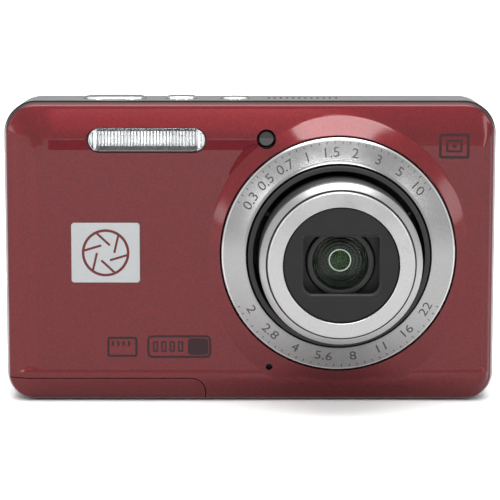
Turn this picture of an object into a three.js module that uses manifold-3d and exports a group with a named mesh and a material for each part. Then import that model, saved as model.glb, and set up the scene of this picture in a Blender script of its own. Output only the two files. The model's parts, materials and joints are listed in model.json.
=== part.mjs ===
// A compact digital camera with a collapsing zoom lens, in millimetres.
// +Z is up and the lens looks along -Y. The origin is the centre of the flat base.
import * as THREE from 'three';
import { mergeVertices } from 'three/addons/utils/BufferGeometryUtils.js';
import Module from 'manifold-3d';

const wasm = await Module();
wasm.setup();

// ---------------------------------------------------------------- driving dimensions

const BODY_WIDTH = 91;
const BODY_HEIGHT = 56;
const FRONT_Y = -10; // the flat part of the front
const BACK_Y = 9.2;
const WALL = 1.2;
const SEAM_Y = -6; // where the front cover meets the rest of the body
const SEAM_GAP = 0.2;
const SIDE_X = BODY_WIDTH / 2;

const LENS_X = 16.26;
const LENS_Z = 28;
const BEZEL_RADIUS = 21.7;
const BEZEL_BORE = 16.85;
const BEZEL_RIM_Y = -10.9;
const BEZEL_CREST_Y = -13.6;
const OUTER_BARREL_RADIUS = 16.65;
const INNER_BARREL_RADIUS = 14.7;
const BARREL_WALL = 1;
const LENS_FACE_Y = -25.7;
const HOUSING_RADIUS = 19.5;
const HOUSING_BACK_Y = 3.4;

const GEAR_MODULE = 0.6;
const CAM_TEETH = 60;
const GEAR_TEETH = 20;
const PINION_TEETH = 12;
const GEAR_FRONT_Y = -7.6;
const GEAR_BACK_Y = -6.1;

const BATTERY = { x0: -43, x1: -12, y0: -4.2, y1: 1.6, z0: 5.3, z1: 45.3 };
const CARD = { x0: -36, x1: -12, y0: -7.85, y1: -5.75, z0: 5.2, z1: 37.2 };
const DOOR = { right: -8.35, top: 4.5, back: 7, hingeY: 6, hingeZ: 1, barrel: 1 };

const FINE = 40; // sides of the large round pieces
const MEDIUM = 22;
const SMALL = 12;
const FIT = 0.15; // gap all round a piece that is set in a cover

// ---------------------------------------------------------------- solids

// A closed geometry as a solid, with its faces turned outwards.
function solidOf(geometry) {
  const bare = geometry.clone();
  bare.deleteAttribute('normal');
  bare.deleteAttribute('uv');
  const merged = mergeVertices(bare, 1e-4);
  const triVerts = new Uint32Array(merged.index.array);
  const vertProperties = merged.attributes.position.array;
  const made = new wasm.Manifold(new wasm.Mesh({ numProp: 3, vertProperties, triVerts }));
  if (made.volume() > 0) return made;
  for (let i = 0; i < triVerts.length; i += 3) {
    [triVerts[i + 1], triVerts[i + 2]] = [triVerts[i + 2], triVerts[i + 1]];
  }
  return new wasm.Manifold(new wasm.Mesh({ numProp: 3, vertProperties, triVerts }));
}

function geometryOf(solid) {
  const mesh = solid.getMesh();
  const indexed = new THREE.BufferGeometry();
  indexed.setAttribute('position', new THREE.BufferAttribute(new Float32Array(mesh.vertProperties), 3));
  indexed.setIndex(new THREE.BufferAttribute(new Uint32Array(mesh.triVerts), 1));
  const geometry = indexed.toNonIndexed();
  geometry.computeVertexNormals();
  return geometry;
}

function block(x0, x1, y0, y1, z0, z1) {
  const geometry = new THREE.BoxGeometry(x1 - x0, y1 - y0, z1 - z0);
  geometry.translate((x0 + x1) / 2, (y0 + y1) / 2, (z0 + z1) / 2);
  return solidOf(geometry);
}

function blockOf({ x0, x1, y0, y1, z0, z1 }) {
  return block(x0, x1, y0, y1, z0, z1);
}

function rodY(radius, y0, y1, x, z, sides = MEDIUM) {
  const geometry = new THREE.CylinderGeometry(radius, radius, y1 - y0, sides);
  geometry.translate(x, (y0 + y1) / 2, z);
  return solidOf(geometry);
}

function rodX(radius, x0, x1, y, z, sides = MEDIUM) {
  const geometry = new THREE.CylinderGeometry(radius, radius, x1 - x0, sides);
  geometry.rotateZ(Math.PI / 2);
  geometry.translate((x0 + x1) / 2, y, z);
  return solidOf(geometry);
}

function rodZ(radius, z0, z1, x, y, sides = MEDIUM) {
  const geometry = new THREE.CylinderGeometry(radius, radius, z1 - z0, sides);
  geometry.rotateX(Math.PI / 2);
  geometry.translate(x, y, (z0 + z1) / 2);
  return solidOf(geometry);
}

// A closed outline of [radius, y] corners, turned round the Y axis.
function turned(outline, sides = FINE) {
  const points = [...outline, outline[0]].map(([r, y]) => new THREE.Vector2(r, y));
  return solidOf(new THREE.LatheGeometry(points, sides));
}

function tube(outer, inner, y0, y1, sides = FINE) {
  return turned([[inner, y0], [outer, y0], [outer, y1], [inner, y1]], sides);
}

// A shape drawn in x and z, as a plate from y0 to y1.
function plateY(shape, y0, y1, curveSegments = 6) {
  const geometry = new THREE.ExtrudeGeometry(shape, { depth: y1 - y0, bevelEnabled: false, curveSegments });
  geometry.rotateX(Math.PI / 2);
  geometry.translate(0, y1, 0);
  return solidOf(geometry);
}

// A shape drawn in x and y, as a plate from z0 to z1.
function plateZ(shape, z0, z1, curveSegments = 6) {
  const geometry = new THREE.ExtrudeGeometry(shape, { depth: z1 - z0, bevelEnabled: false, curveSegments });
  geometry.translate(0, 0, z0);
  return solidOf(geometry);
}

function roundedRectangle(cx, cy, width, height, radius) {
  const shape = new THREE.Shape();
  const right = cx + width / 2;
  const top = cy + height / 2;
  const left = cx - width / 2;
  const bottom = cy - height / 2;
  shape.moveTo(left + radius, bottom);
  shape.lineTo(right - radius, bottom);
  shape.absarc(right - radius, bottom + radius, radius, -Math.PI / 2, 0);
  shape.lineTo(right, top - radius);
  shape.absarc(right - radius, top - radius, radius, 0, Math.PI / 2);
  shape.lineTo(left + radius, top);
  shape.absarc(left + radius, top - radius, radius, Math.PI / 2, Math.PI);
  shape.lineTo(left, bottom + radius);
  shape.absarc(left + radius, bottom + radius, radius, Math.PI, 1.5 * Math.PI);
  return shape;
}

// ---------------------------------------------------------------- the body's form

const CORNER_STEPS = 6;
const BOTTOM_CORNER = 0.85; // a bottom corner's radius over a top corner's

// One cross-section of the body: a rounded rectangle at a given y, anticlockwise from the bottom right.
function section({ y, left, right, bottom, top, radius }) {
  const low = radius * BOTTOM_CORNER;
  const corners = [
    [right - low, bottom + low, low, -Math.PI / 2],
    [right - radius, top - radius, radius, 0],
    [left + radius, top - radius, radius, Math.PI / 2],
    [left + low, bottom + low, low, Math.PI],
  ];
  return corners.flatMap(([x, z, r, start]) =>
    Array.from({ length: CORNER_STEPS + 1 }, (_, i) => {
      const angle = start + (i / CORNER_STEPS) * (Math.PI / 2);
      return [x + r * Math.cos(angle), y, z + r * Math.sin(angle)];
    }),
  );
}

// A closed solid through sections that run from front to back.
function loft(sections) {
  const rings = sections.map(section);
  const count = rings[0].length;
  const index = [];
  for (let ring = 0; ring + 1 < rings.length; ring++) {
    for (let i = 0; i < count; i++) {
      const a = ring * count + i;
      const b = ring * count + ((i + 1) % count);
      index.push(a, b, a + count, b, b + count, a + count);
    }
  }
  const last = (rings.length - 1) * count;
  for (let i = 1; i + 1 < count; i++) {
    index.push(0, i + 1, i);
    index.push(last, last + i, last + i + 1);
  }
  const geometry = new THREE.BufferGeometry();
  geometry.setAttribute('position', new THREE.Float32BufferAttribute(rings.flat(2), 3));
  geometry.setIndex(index);
  return solidOf(geometry);
}

// A section of the full body size, made smaller all round.
function full(y, smaller, radius) {
  return {
    y,
    left: -SIDE_X + smaller,
    right: SIDE_X - smaller,
    bottom: smaller,
    top: BODY_HEIGHT - smaller,
    radius,
  };
}

// The front falls away from its flat part in four bands, the left and top ones wide and shallow.
const FRONT_FLAT = { y: FRONT_Y, left: -39.4, right: 43, bottom: 6.6, top: 48, radius: 0.8 };
const BAND_FOOT = { y: -9, left: -44, right: 44.6, bottom: 1.9, top: 54.2, radius: 4.6 };
const FRONT_EDGE = { y: -8, left: -44.9, right: 45, bottom: 0.7, top: 55.3, radius: 5.4 };

const outerForm = loft([
  FRONT_FLAT,
  BAND_FOOT,
  FRONT_EDGE,
  full(SEAM_Y - SEAM_GAP, 0.2, 5.9),
  full(SEAM_Y, 0, 6),
  full(7.2, 0, 6),
  full(8.6, 0.5, 5.7),
  full(BACK_Y, 1.3, 5.2),
]);

function sunk(ring, inset) {
  return {
    y: ring.y + WALL,
    left: ring.left + inset,
    right: ring.right - inset,
    bottom: ring.bottom + inset,
    top: ring.top - inset,
    radius: Math.max(ring.radius - inset, 0.3),
  };
}

const innerForm = loft([
  sunk(FRONT_FLAT, 0.6),
  sunk(BAND_FOOT, 1),
  sunk(FRONT_EDGE, 1),
  full(SEAM_Y + 1, WALL, 4.8),
  full(6.6, WALL, 4.8),
  full(7.4, 1.6, 4.4),
  full(BACK_Y - WALL, 2.3, 3.8),
]);

const shell = outerForm.subtract(innerForm);
const FAR = 60;

// ---------------------------------------------------------------- placing

const camera = new THREE.Group();
const lens = new THREE.Group();
lens.position.set(LENS_X, 0, LENS_Z);
camera.add(lens);

const RED = { color: 0x753d3f, roughness: 0.35, metalness: 0.4 };
const GREY = { color: 0xa5a3a5, roughness: 0.5, metalness: 0.1 };
const CHARCOAL = { color: 0x393939, roughness: 0.45, metalness: 0.2 };
const BLACK = { color: 0x141414, roughness: 0.4, metalness: 0 };
const SILVER = { color: 0xc8cbcd, roughness: 0.3, metalness: 0.9 };
const STEEL = { color: 0x9a9a98, roughness: 0.35, metalness: 0.9 };
const GLASS = { color: 0x1d2a20, roughness: 0.05, metalness: 0 };
const CLEAR = { color: 0xdde0de, roughness: 0.15, metalness: 0 };
const BOARD = { color: 0x1f5a3a, roughness: 0.6, metalness: 0 };
const RUBBER = { color: 0x8d8b8c, roughness: 0.8, metalness: 0 };
const NYLON = { color: 0xd8d4c8, roughness: 0.5, metalness: 0 };

function place(name, solid, finish, parent = camera) {
  const mesh = new THREE.Mesh(geometryOf(solid), new THREE.MeshStandardMaterial(finish));
  mesh.name = name;
  parent.add(mesh);
  return mesh;
}

// ---------------------------------------------------------------- battery and card door

function doorRegion(gap) {
  return block(-FAR, DOOR.right + gap, -FAR, DOOR.back + gap, -FAR, DOOR.top + gap);
}

const DOOR_INSIDE = { x0: -44.1, x1: -9.2, y0: -8, y1: FAR, z0: 1.5, z1: FAR };
const HINGE_TABS = [-40, -16]; // left side of each tab of the hinge
const TAB_WIDTH = 2;

function batteryDoor() {
  const hinge = rodX(DOOR.barrel, -SIDE_X, DOOR.right, DOOR.hingeY, DOOR.hingeZ).intersect(outerForm);
  const corner = block(-FAR, FAR, DOOR.hingeY, FAR, -FAR, DOOR.hingeZ);
  let door = outerForm.intersect(doorRegion(0)).subtract(blockOf(DOOR_INSIDE)).subtract(corner).add(hinge);
  door = door.subtract(rodX(0.5, -42.3, -11.7, DOOR.hingeY, DOOR.hingeZ, SMALL));
  for (const x of HINGE_TABS) {
    door = door.subtract(block(x - 0.3, x + TAB_WIDTH + 0.3, DOOR.hingeY - 1.2, FAR, -FAR, 2));
  }
  return door;
}

// The pin that the door turns on, with the rail that lets pin and door slide outwards.
function doorHinge() {
  let hinge = rodX(0.4, -42, -12, DOOR.hingeY, DOOR.hingeZ, SMALL);
  hinge = hinge.add(block(-41, -13, 3.6, 6.5, 3.6, 4.2));
  for (const x of HINGE_TABS) {
    hinge = hinge.add(block(x, x + TAB_WIDTH, 5.5, 6.5, 0.8, 4));
  }
  return hinge;
}

place('battery_door', batteryDoor(), RED);
place('door_hinge', doorHinge(), STEEL);

// ---------------------------------------------------------------- flash, lamp, microphone, badge

const FLASH = { x: -18.98, z: 49, width: 21.4, height: 4.3 };
const LAMP = { x: 3.02, z: 49.2, radius: 1.6 };
const MICROPHONE = { x: 3.53, z: 6.8, hole: 0.65 };
const BADGE = { x: -26.65, z: 28.18, width: 12.7, height: 11.15 };

function flashPlate(smaller, y0, y1) {
  const height = FLASH.height - 2 * smaller;
  return plateY(roundedRectangle(FLASH.x, FLASH.z, FLASH.width - 2 * smaller, height, height / 2), y0, y1);
}

const FLASH_WINDOW_BACK = -8.6;
const TROUGH = { halfWidth: 9.2, halfHeight: 1.6, floor: -5 };
const FLASH_TUBE = { radius: 0.8, halfLength: 8.9, y: -6.4 };
const CAPACITOR = { radius: 3.5, bottom: 12, top: 42, x: -7.2, y: -4.5 };

place('flash_window', flashPlate(0, FRONT_Y, FLASH_WINDOW_BACK), CLEAR);
const trough = block(
  FLASH.x - TROUGH.halfWidth,
  FLASH.x + TROUGH.halfWidth,
  -FAR,
  TROUGH.floor,
  FLASH.z - TROUGH.halfHeight,
  FLASH.z + TROUGH.halfHeight,
);
place('flash_reflector', flashPlate(0.2, FLASH_WINDOW_BACK + 0.1, TROUGH.floor + 1).subtract(trough), SILVER);
const tubeLeft = FLASH.x - FLASH_TUBE.halfLength;
const tubeRight = FLASH.x + FLASH_TUBE.halfLength;
place('flash_tube', rodX(FLASH_TUBE.radius, tubeLeft, tubeRight, FLASH_TUBE.y, FLASH.z, SMALL), CLEAR);
place('flash_capacitor', rodZ(CAPACITOR.radius, CAPACITOR.bottom, CAPACITOR.top, CAPACITOR.x, CAPACITOR.y), BLACK);
place('focus_lamp_window', rodY(LAMP.radius, -9.8, -8.2, LAMP.x, LAMP.z, SMALL), GLASS);
place('microphone', rodY(2, -8, -6, MICROPHONE.x, MICROPHONE.z, SMALL), STEEL);
const badgeShape = roundedRectangle(BADGE.x, BADGE.z, BADGE.width, BADGE.height, 0.6);
place('front_badge', plateY(badgeShape, FRONT_Y - 0.3, FRONT_Y, 3), SILVER);

// ---------------------------------------------------------------- screws

const BOTTOM_SCREWS = [[-3.5, 2], [36, 2]];
const SIDE_SCREW = { y: 1, z: 44 };
const SCREW = { head: 1.4, shank: 0.7, sink: 0.15, headHeight: 0.6, length: 3.8 };

function bottomScrew([x, y], wider = 0, sink = SCREW.sink) {
  const neck = SCREW.sink + SCREW.headHeight;
  const head = rodZ(SCREW.head + wider, sink, neck + wider, x, y, SMALL);
  return head.add(rodZ(SCREW.shank + wider, neck - 0.1, SCREW.length, x, y, SMALL));
}

function sideScrew(wider = 0, sink = SCREW.sink) {
  const neck = SIDE_X - SCREW.sink - SCREW.headHeight;
  const head = rodX(SCREW.head + wider, neck - wider, SIDE_X - sink, SIDE_SCREW.y, SIDE_SCREW.z, SMALL);
  return head.add(rodX(SCREW.shank + wider, SIDE_X - SCREW.length, neck + 0.1, SIDE_SCREW.y, SIDE_SCREW.z, SMALL));
}

BOTTOM_SCREWS.forEach((at, i) => place(`bottom_screw_${i + 1}`, bottomScrew(at), STEEL));
place('side_screw', sideScrew(), STEEL);

// ---------------------------------------------------------------- top buttons

const TOP_BUTTONS = [
  { name: 'shutter_button', x: -25.3, width: 11.2, depth: 7.2, top: 56.45 },
  { name: 'power_button', x: -12.85, width: 5.3, depth: 5.3, top: 56.5 },
  { name: 'mode_button', x: -2.8, width: 5, depth: 5, top: 56.35 },
];
const TOP_BUTTON_Y = 0.5;
const FLANGE_Z = 53.9;

function topButtonShape({ x, width, depth }, larger) {
  const radius = Math.min(depth, width) / 2 + larger - 0.01;
  return roundedRectangle(x, TOP_BUTTON_Y, width + 2 * larger, depth + 2 * larger, radius);
}

for (const button of TOP_BUTTONS) {
  const cap = plateZ(topButtonShape(button, 0), FLANGE_Z, button.top);
  const flange = plateZ(topButtonShape(button, 0.7), FLANGE_Z, FLANGE_Z + 0.6);
  place(button.name, cap.add(flange), SILVER);
}

// ---------------------------------------------------------------- back controls and display

const KEY_FOOT_Y = 7;
const KEY_FLANGE_Y = 7.5;
const PAD_FLANGE_Y = 7.3; // thinner than a key's, as the pad rocks
const PAD = { x: -31, z: 22, radius: 9.5, hole: 4 };
const ROCKER = { x: -31, z: 48, width: 14, height: 5 };
const BACK_BUTTONS = [
  { name: 'record_button', x: -37.5, z: 37 },
  { name: 'play_button', x: -24.5, z: 37 },
  { name: 'menu_button', x: -37.5, z: 7.6 },
  { name: 'delete_button', x: -24.5, z: 7.6 },
];
const BACK_BUTTON_RADIUS = 2.6;
const DISPLAY = { x: 13.5, z: 28.25, width: 60, height: 45.5 };
const DISPLAY_OPENING = { width: 55, height: 41.5 };

for (const { name, x, z } of BACK_BUTTONS) {
  const cap = rodY(BACK_BUTTON_RADIUS, KEY_FOOT_Y, 9.45, x, z, SMALL);
  place(name, cap.add(rodY(BACK_BUTTON_RADIUS + 0.5, KEY_FOOT_Y, KEY_FLANGE_Y, x, z, SMALL)), GREY);
}

const pad = new THREE.Group();
pad.position.set(PAD.x, 0, PAD.z);
camera.add(pad);
const padOutline = [
  [PAD.hole, KEY_FOOT_Y],
  [PAD.radius + 0.6, KEY_FOOT_Y],
  [PAD.radius + 0.6, PAD_FLANGE_Y],
  [PAD.radius, PAD_FLANGE_Y],
  [PAD.radius, 9.3],
  [PAD.radius - 0.4, 9.5],
  [PAD.hole, 9.5],
];
place('direction_pad', turned(padOutline, MEDIUM), GREY, pad);
place('pad_dome', tube(3.6, 2.2, 6.5, 6.8, SMALL), RUBBER, pad);
const okCap = rodY(PAD.hole - 0.4, 7.3, 9.45, 0, 0, MEDIUM);
place('ok_button', okCap.add(rodY(1.2, 6.95, 7.4, 0, 0, SMALL)), GREY, pad);

const rockerShape = roundedRectangle(ROCKER.x, ROCKER.z, ROCKER.width, ROCKER.height, 2.2);
place('zoom_rocker', plateY(rockerShape, 7.3, 9.6), GREY);
place('keys_board', blockOf({ x0: -38.5, x1: -18.5, y0: 5.85, y1: 6.25, z0: 5, z1: 51.5 }), BOARD);

function displayShape(width, height, radius) {
  return roundedRectangle(DISPLAY.x, DISPLAY.z, width, height, radius);
}

place('lcd_window', plateY(displayShape(DISPLAY.width, DISPLAY.height, 1.5), 8.35, BACK_Y, 3), GLASS);
const panel = displayShape(DISPLAY_OPENING.width - 0.4, DISPLAY_OPENING.height - 0.4, 0.5);
place('lcd_panel', plateY(panel, 5.3, 7.6, 2), BLACK);

// ---------------------------------------------------------------- port cover, port, strap lug

const PORT_COVER = { y0: -1, y1: 6.4, z0: 10, z1: 34 };
const PORT = { y0: 4.25, y1: 6.35, z0: 24.2, z1: 31.8 };
const PORT_SHELL = 0.4;
const LUG = { y0: 0.8, y1: 3.2, z0: 35, z1: 40 };

const coverPlate = block(-SIDE_X - 0.3, -44.95, PORT_COVER.y0, PORT_COVER.y1, PORT_COVER.z0, PORT_COVER.z1);
const fingerNub = block(-SIDE_X - 0.5, -45.1, 1.5, 4, 7.6, PORT_COVER.z0 + 0.5);
place('port_cover', coverPlate.add(fingerNub), RUBBER);
const portShell = block(-44.7, -39.5, PORT.y0, PORT.y1, PORT.z0, PORT.z1);
const portMouth = block(
  -FAR,
  -40.3,
  PORT.y0 + PORT_SHELL,
  PORT.y1 - PORT_SHELL,
  PORT.z0 + PORT_SHELL,
  PORT.z1 - PORT_SHELL,
);
place('usb_port', portShell.subtract(portMouth), STEEL);
const lugBar = block(-SIDE_X - 0.5, -44.1, LUG.y0, LUG.y1, LUG.z0, LUG.z1);
place('strap_lug', lugBar.subtract(block(-45.5, -44.8, -FAR, FAR, 36, 39)), STEEL);

const coverPocket = block(-FAR, -44.85, -1.2, 6.6, 7.4, 34.2);
const portWindow = block(-FAR, -43.5, PORT.y0 - FIT, PORT.y1 + FIT, PORT.z0 - FIT, PORT.z1 + FIT);
const lugWindow = block(-FAR, -43.5, LUG.y0 - FIT, LUG.y1 + FIT, LUG.z0 - FIT, LUG.z1 + FIT);

// ---------------------------------------------------------------- tripod socket

const SOCKET = { x: LENS_X, y: -0.5, radius: 5, bore: 3.05, height: 6.8, depth: 5.8 };
const socketBore = rodZ(SOCKET.bore, -1, SOCKET.depth, SOCKET.x, SOCKET.y, 24);
place('tripod_socket', rodZ(SOCKET.radius, 0, SOCKET.height, SOCKET.x, SOCKET.y, 24).subtract(socketBore), STEEL);

// ---------------------------------------------------------------- covers

const TOP_SEAM_Z = 46.2;
const TOP_BACK_Y = 7;

function frontCover() {
  const collar = turned([[20, -9], [24.9, -9], [24.2, -9.9], [22.4, BEZEL_RIM_Y], [20, BEZEL_RIM_Y]]);
  const bore = rodY(BEZEL_RADIUS + 0.2, -FAR, FAR, LENS_X, LENS_Z, FINE);
  let cover = shell.add(collar.translate([LENS_X, 0, LENS_Z])).subtract(bore);
  cover = cover.subtract(block(-FAR, FAR, SEAM_Y - SEAM_GAP, FAR, -FAR, FAR));
  cover = cover.subtract(doorRegion(FIT));
  cover = cover.subtract(flashPlate(-FIT, -FAR, 0));
  cover = cover.subtract(rodY(LAMP.radius + FIT, -FAR, 0, LAMP.x, LAMP.z, SMALL));
  return cover.subtract(rodY(MICROPHONE.hole, -FAR, 0, MICROPHONE.x, MICROPHONE.z, SMALL));
}

function topRegion(gap) {
  return block(-FAR, FAR, SEAM_Y - gap, TOP_BACK_Y + gap, TOP_SEAM_Z - gap, FAR);
}

function topCover() {
  return TOP_BUTTONS.reduce(
    (cover, button) => cover.subtract(plateZ(topButtonShape(button, 0.2), 50, FAR)),
    shell.intersect(topRegion(0)),
  );
}

function rearCover() {
  let cover = shell.subtract(block(-FAR, FAR, -FAR, SEAM_Y, -FAR, FAR));
  cover = cover.subtract(topRegion(FIT)).subtract(doorRegion(FIT));
  cover = cover.subtract(plateY(displayShape(DISPLAY.width + 2 * FIT, DISPLAY.height + 2 * FIT, 1.6), 8.3, FAR, 3));
  const opening = displayShape(DISPLAY_OPENING.width, DISPLAY_OPENING.height, 0.6);
  cover = cover.subtract(plateY(opening, 5, FAR, 2));
  for (const { x, z } of BACK_BUTTONS) {
    cover = cover.subtract(rodY(BACK_BUTTON_RADIUS + 0.2, 5, FAR, x, z, SMALL));
  }
  cover = cover.subtract(rodY(PAD.radius + 0.25, 5, FAR, PAD.x, PAD.z));
  const rockerHole = roundedRectangle(ROCKER.x, ROCKER.z, ROCKER.width + 0.7, ROCKER.height + 0.4, 2.3);
  cover = cover.subtract(plateY(rockerHole, 5, FAR));
  cover = cover.subtract(coverPocket).subtract(portWindow).subtract(lugWindow);
  cover = cover.subtract(rodZ(SOCKET.radius + 0.1, -1, FAR, SOCKET.x, SOCKET.y, 24));
  for (const at of BOTTOM_SCREWS) {
    cover = cover.subtract(bottomScrew(at, 0.1, -1));
  }
  return cover.subtract(sideScrew(0.1, -1));
}

place('front_cover', frontCover(), RED);
place('top_cover', topCover(), GREY);
place('rear_cover', rearCover(), GREY);

// ---------------------------------------------------------------- lens

// A toothed outline. Teeth lie between the two angles, in degrees, and the rest is plain at the root.
function toothed(teeth, phase, from = -Infinity, to = Infinity) {
  const pitch = (2 * Math.PI) / teeth;
  const pitchRadius = (GEAR_MODULE * teeth) / 2;
  const root = pitchRadius - 1.2 * GEAR_MODULE;
  const tip = pitchRadius + 0.95 * GEAR_MODULE;
  const shape = new THREE.Shape();
  const at = (radius, angle) => new THREE.Vector2(radius * Math.cos(angle), radius * Math.sin(angle));
  const points = [];
  for (let i = 0; i < teeth; i++) {
    const middle = THREE.MathUtils.degToRad(phase) + i * pitch;
    const degrees = THREE.MathUtils.euclideanModulo(THREE.MathUtils.radToDeg(middle) + 180, 360) - 180;
    if (degrees < from || degrees > to) {
      points.push(at(root, middle));
      continue;
    }
    points.push(at(root, middle - 0.28 * pitch), at(tip, middle - 0.12 * pitch));
    points.push(at(tip, middle + 0.12 * pitch), at(root, middle + 0.28 * pitch));
  }
  return shape.setFromPoints(points);
}

const CAM_RADIUS = (GEAR_MODULE * CAM_TEETH) / 2;
const GEAR_RADIUS = (GEAR_MODULE * GEAR_TEETH) / 2;
const PINION_RADIUS = (GEAR_MODULE * PINION_TEETH) / 2;

function along(degrees, distance, from = { x: 0, z: 0 }) {
  const angle = THREE.MathUtils.degToRad(degrees);
  return { x: from.x + distance * Math.cos(angle), z: from.z + distance * Math.sin(angle) };
}

const gearAt = along(-45, CAM_RADIUS + GEAR_RADIUS);
const pinionAt = along(54, GEAR_RADIUS + PINION_RADIUS, gearAt);

function lensBezel() {
  return turned([
    [BEZEL_BORE, -9.2],
    [BEZEL_BORE, BEZEL_CREST_Y],
    [BEZEL_BORE + 0.35, BEZEL_CREST_Y - 0.1],
    [BEZEL_RADIUS, BEZEL_RIM_Y],
    [BEZEL_RADIUS, -9.2],
  ]);
}

function lensHousing() {
  const cup = turned([
    [2, HOUSING_BACK_Y - 0.8],
    [18.9, HOUSING_BACK_Y - 0.8],
    [18.9, -9],
    [HOUSING_RADIUS, -9],
    [HOUSING_RADIUS, HOUSING_BACK_Y],
    [2, HOUSING_BACK_Y],
  ]);
  const gearRoom = rodY(GEAR_RADIUS + 1, -FAR, GEAR_BACK_Y + 0.5, gearAt.x, gearAt.z);
  return cup.subtract(gearRoom).subtract(block(-6.7, 6.7, 0, FAR, -5.7, 5.7));
}

function camRing() {
  const teeth = plateY(toothed(CAM_TEETH, 3, -126, 0), GEAR_FRONT_Y, GEAR_BACK_Y + 0.3);
  const ring = tube(17.9, 16.5, GEAR_BACK_Y + 0.1, 1.8);
  return teeth.add(ring).subtract(rodY(16.95, -FAR, FAR, 0, 0, FINE));
}

// A barrel with three cam pins near its back end.
function barrel(radius, front, back, pinTop) {
  let made = tube(radius, radius - BARREL_WALL, front, back);
  for (let i = 0; i < 3; i++) {
    const pin = rodX(0.6, radius - 0.5, pinTop, back - 1.2, 0, 8);
    made = made.add(pin.rotate([0, 120 * i + 30, 0]));
  }
  return made;
}

const CAP_BACK_Y = -21.5;

function frontCap() {
  return turned([
    [13.3, CAP_BACK_Y],
    [14.65, CAP_BACK_Y],
    [14.6, -23.35],
    [13.36, -24.75],
    [13, -25.15],
    [10.4, LENS_FACE_Y],
    [10.4, -25],
    [12.9, -24.45],
    [13.3, -23.9],
  ]);
}

const FACE_OPENING = { width: 13.6, height: 10.3 };

function facePlate() {
  const opening = plateY(roundedRectangle(0, 0, FACE_OPENING.width, FACE_OPENING.height, 1.2), -FAR, FAR, 3);
  return rodY(10.3, -25.35, -24.5, 0, 0, FINE).subtract(opening);
}

// A lens barrier blade, open: a straight inner edge just outside the opening and a round outer edge.
function barrierBlade(side) {
  const strip = side > 0 ? block(-7.4, 7.4, -24.1, -23.7, 5.4, 20) : block(-7.4, 7.4, -24.1, -23.7, -20, -5.4);
  return strip.intersect(rodY(12.7, -FAR, FAR, 0, 0, FINE));
}

function frontLens() {
  const radius = 4.8;
  const rise = 0.9;
  const dome = Array.from({ length: 7 }, (_, i) => {
    const r = (radius * i) / 6;
    return [r, -21.2 + rise * (r / radius) ** 2];
  });
  return turned([...dome, [radius, -18.4], [0, -18.4]], MEDIUM);
}

// The cell that holds the front lenses, with the shutter behind them.
function shutterUnit() {
  return turned([
    [4.95, -21.6],
    [6, -21.6],
    [6, -20.4],
    [13.2, -20.4],
    [13.2, -15.7],
    [3.2, -15.7],
    [3.2, -17.9],
    [4.95, -17.9],
  ]);
}

const FOCUS_SCREW = { x: 0, z: -10.2, radius: 0.5 };

function focusFrame() {
  const ring = tube(7, 5, -2.6, 1, MEDIUM);
  const arm = block(-1.6, 1.6, -2.6, -1.4, -11.4, -6);
  return ring.add(arm).subtract(rodY(FOCUS_SCREW.radius + 0.08, -FAR, FAR, FOCUS_SCREW.x, FOCUS_SCREW.z, SMALL));
}

place('lens_bezel', lensBezel(), SILVER, lens);
place('lens_housing', lensHousing(), BLACK, lens);
place('cam_ring', camRing(), CHARCOAL, lens);
place('outer_barrel', barrel(OUTER_BARREL_RADIUS, -14.4, -0.9, 16.85), CHARCOAL, lens);
place('inner_barrel', barrel(INNER_BARREL_RADIUS, -21.3, -9.2, 15.4), CHARCOAL, lens);
place('front_cap', frontCap(), SILVER, lens);
place('face_plate', facePlate(), BLACK, lens);
place('barrier_upper', barrierBlade(1), BLACK, lens);
place('barrier_lower', barrierBlade(-1), BLACK, lens);
place('front_lens', frontLens(), GLASS, lens);
place('shutter_unit', shutterUnit(), BLACK, lens);
place('focus_frame', focusFrame(), BLACK, lens);
place('focus_lens', rodY(4.9, -2.2, 0.6, 0, 0, MEDIUM), GLASS, lens);
place('focus_screw', rodY(FOCUS_SCREW.radius, -3.6, -0.45, FOCUS_SCREW.x, FOCUS_SCREW.z, SMALL), STEEL, lens);
place('focus_motor', rodY(2, -0.3, 2.5, FOCUS_SCREW.x, FOCUS_SCREW.z, SMALL), STEEL, lens);

const sensorFlange = block(-9, 9, 3.5, 4.3, -7.5, 7.5);
place('image_sensor', block(-6.5, 6.5, 2.75, 3.7, -5.5, 5.5).add(sensorFlange), BLACK, lens);

const gear = plateY(toothed(GEAR_TEETH, 0), GEAR_FRONT_Y, GEAR_BACK_Y).translate([gearAt.x, 0, gearAt.z]);
place('zoom_gear', gear.add(rodY(0.9, -7.8, -4.6, gearAt.x, gearAt.z, SMALL)), NYLON, lens);
const pinion = plateY(toothed(PINION_TEETH, 9), GEAR_FRONT_Y, GEAR_BACK_Y).translate([pinionAt.x, 0, pinionAt.z]);
place('motor_pinion', pinion, NYLON, lens);
place('zoom_motor', rodY(3.5, -5.8, 3, pinionAt.x, pinionAt.z), STEEL, lens);

// ---------------------------------------------------------------- battery, card, boards

// A block grown at its sides and its top, with its foot at a given height.
function roomRound({ x0, x1, y0, y1, z1 }, sides, top, foot) {
  return block(x0 - sides, x1 + sides, y0 - sides, y1 + sides, foot, z1 + top);
}

const BATTERY_ROOM = 0.3;
const HOLDER_WALL = 0.5;
const holderOuter = roomRound(BATTERY, BATTERY_ROOM + HOLDER_WALL, BATTERY_ROOM + HOLDER_WALL, BATTERY.z0);
const holderInner = roomRound(BATTERY, BATTERY_ROOM, BATTERY_ROOM, 0);
place('battery_holder', holderOuter.subtract(holderInner), BLACK);
place('battery', blockOf(BATTERY), CHARCOAL);

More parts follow.
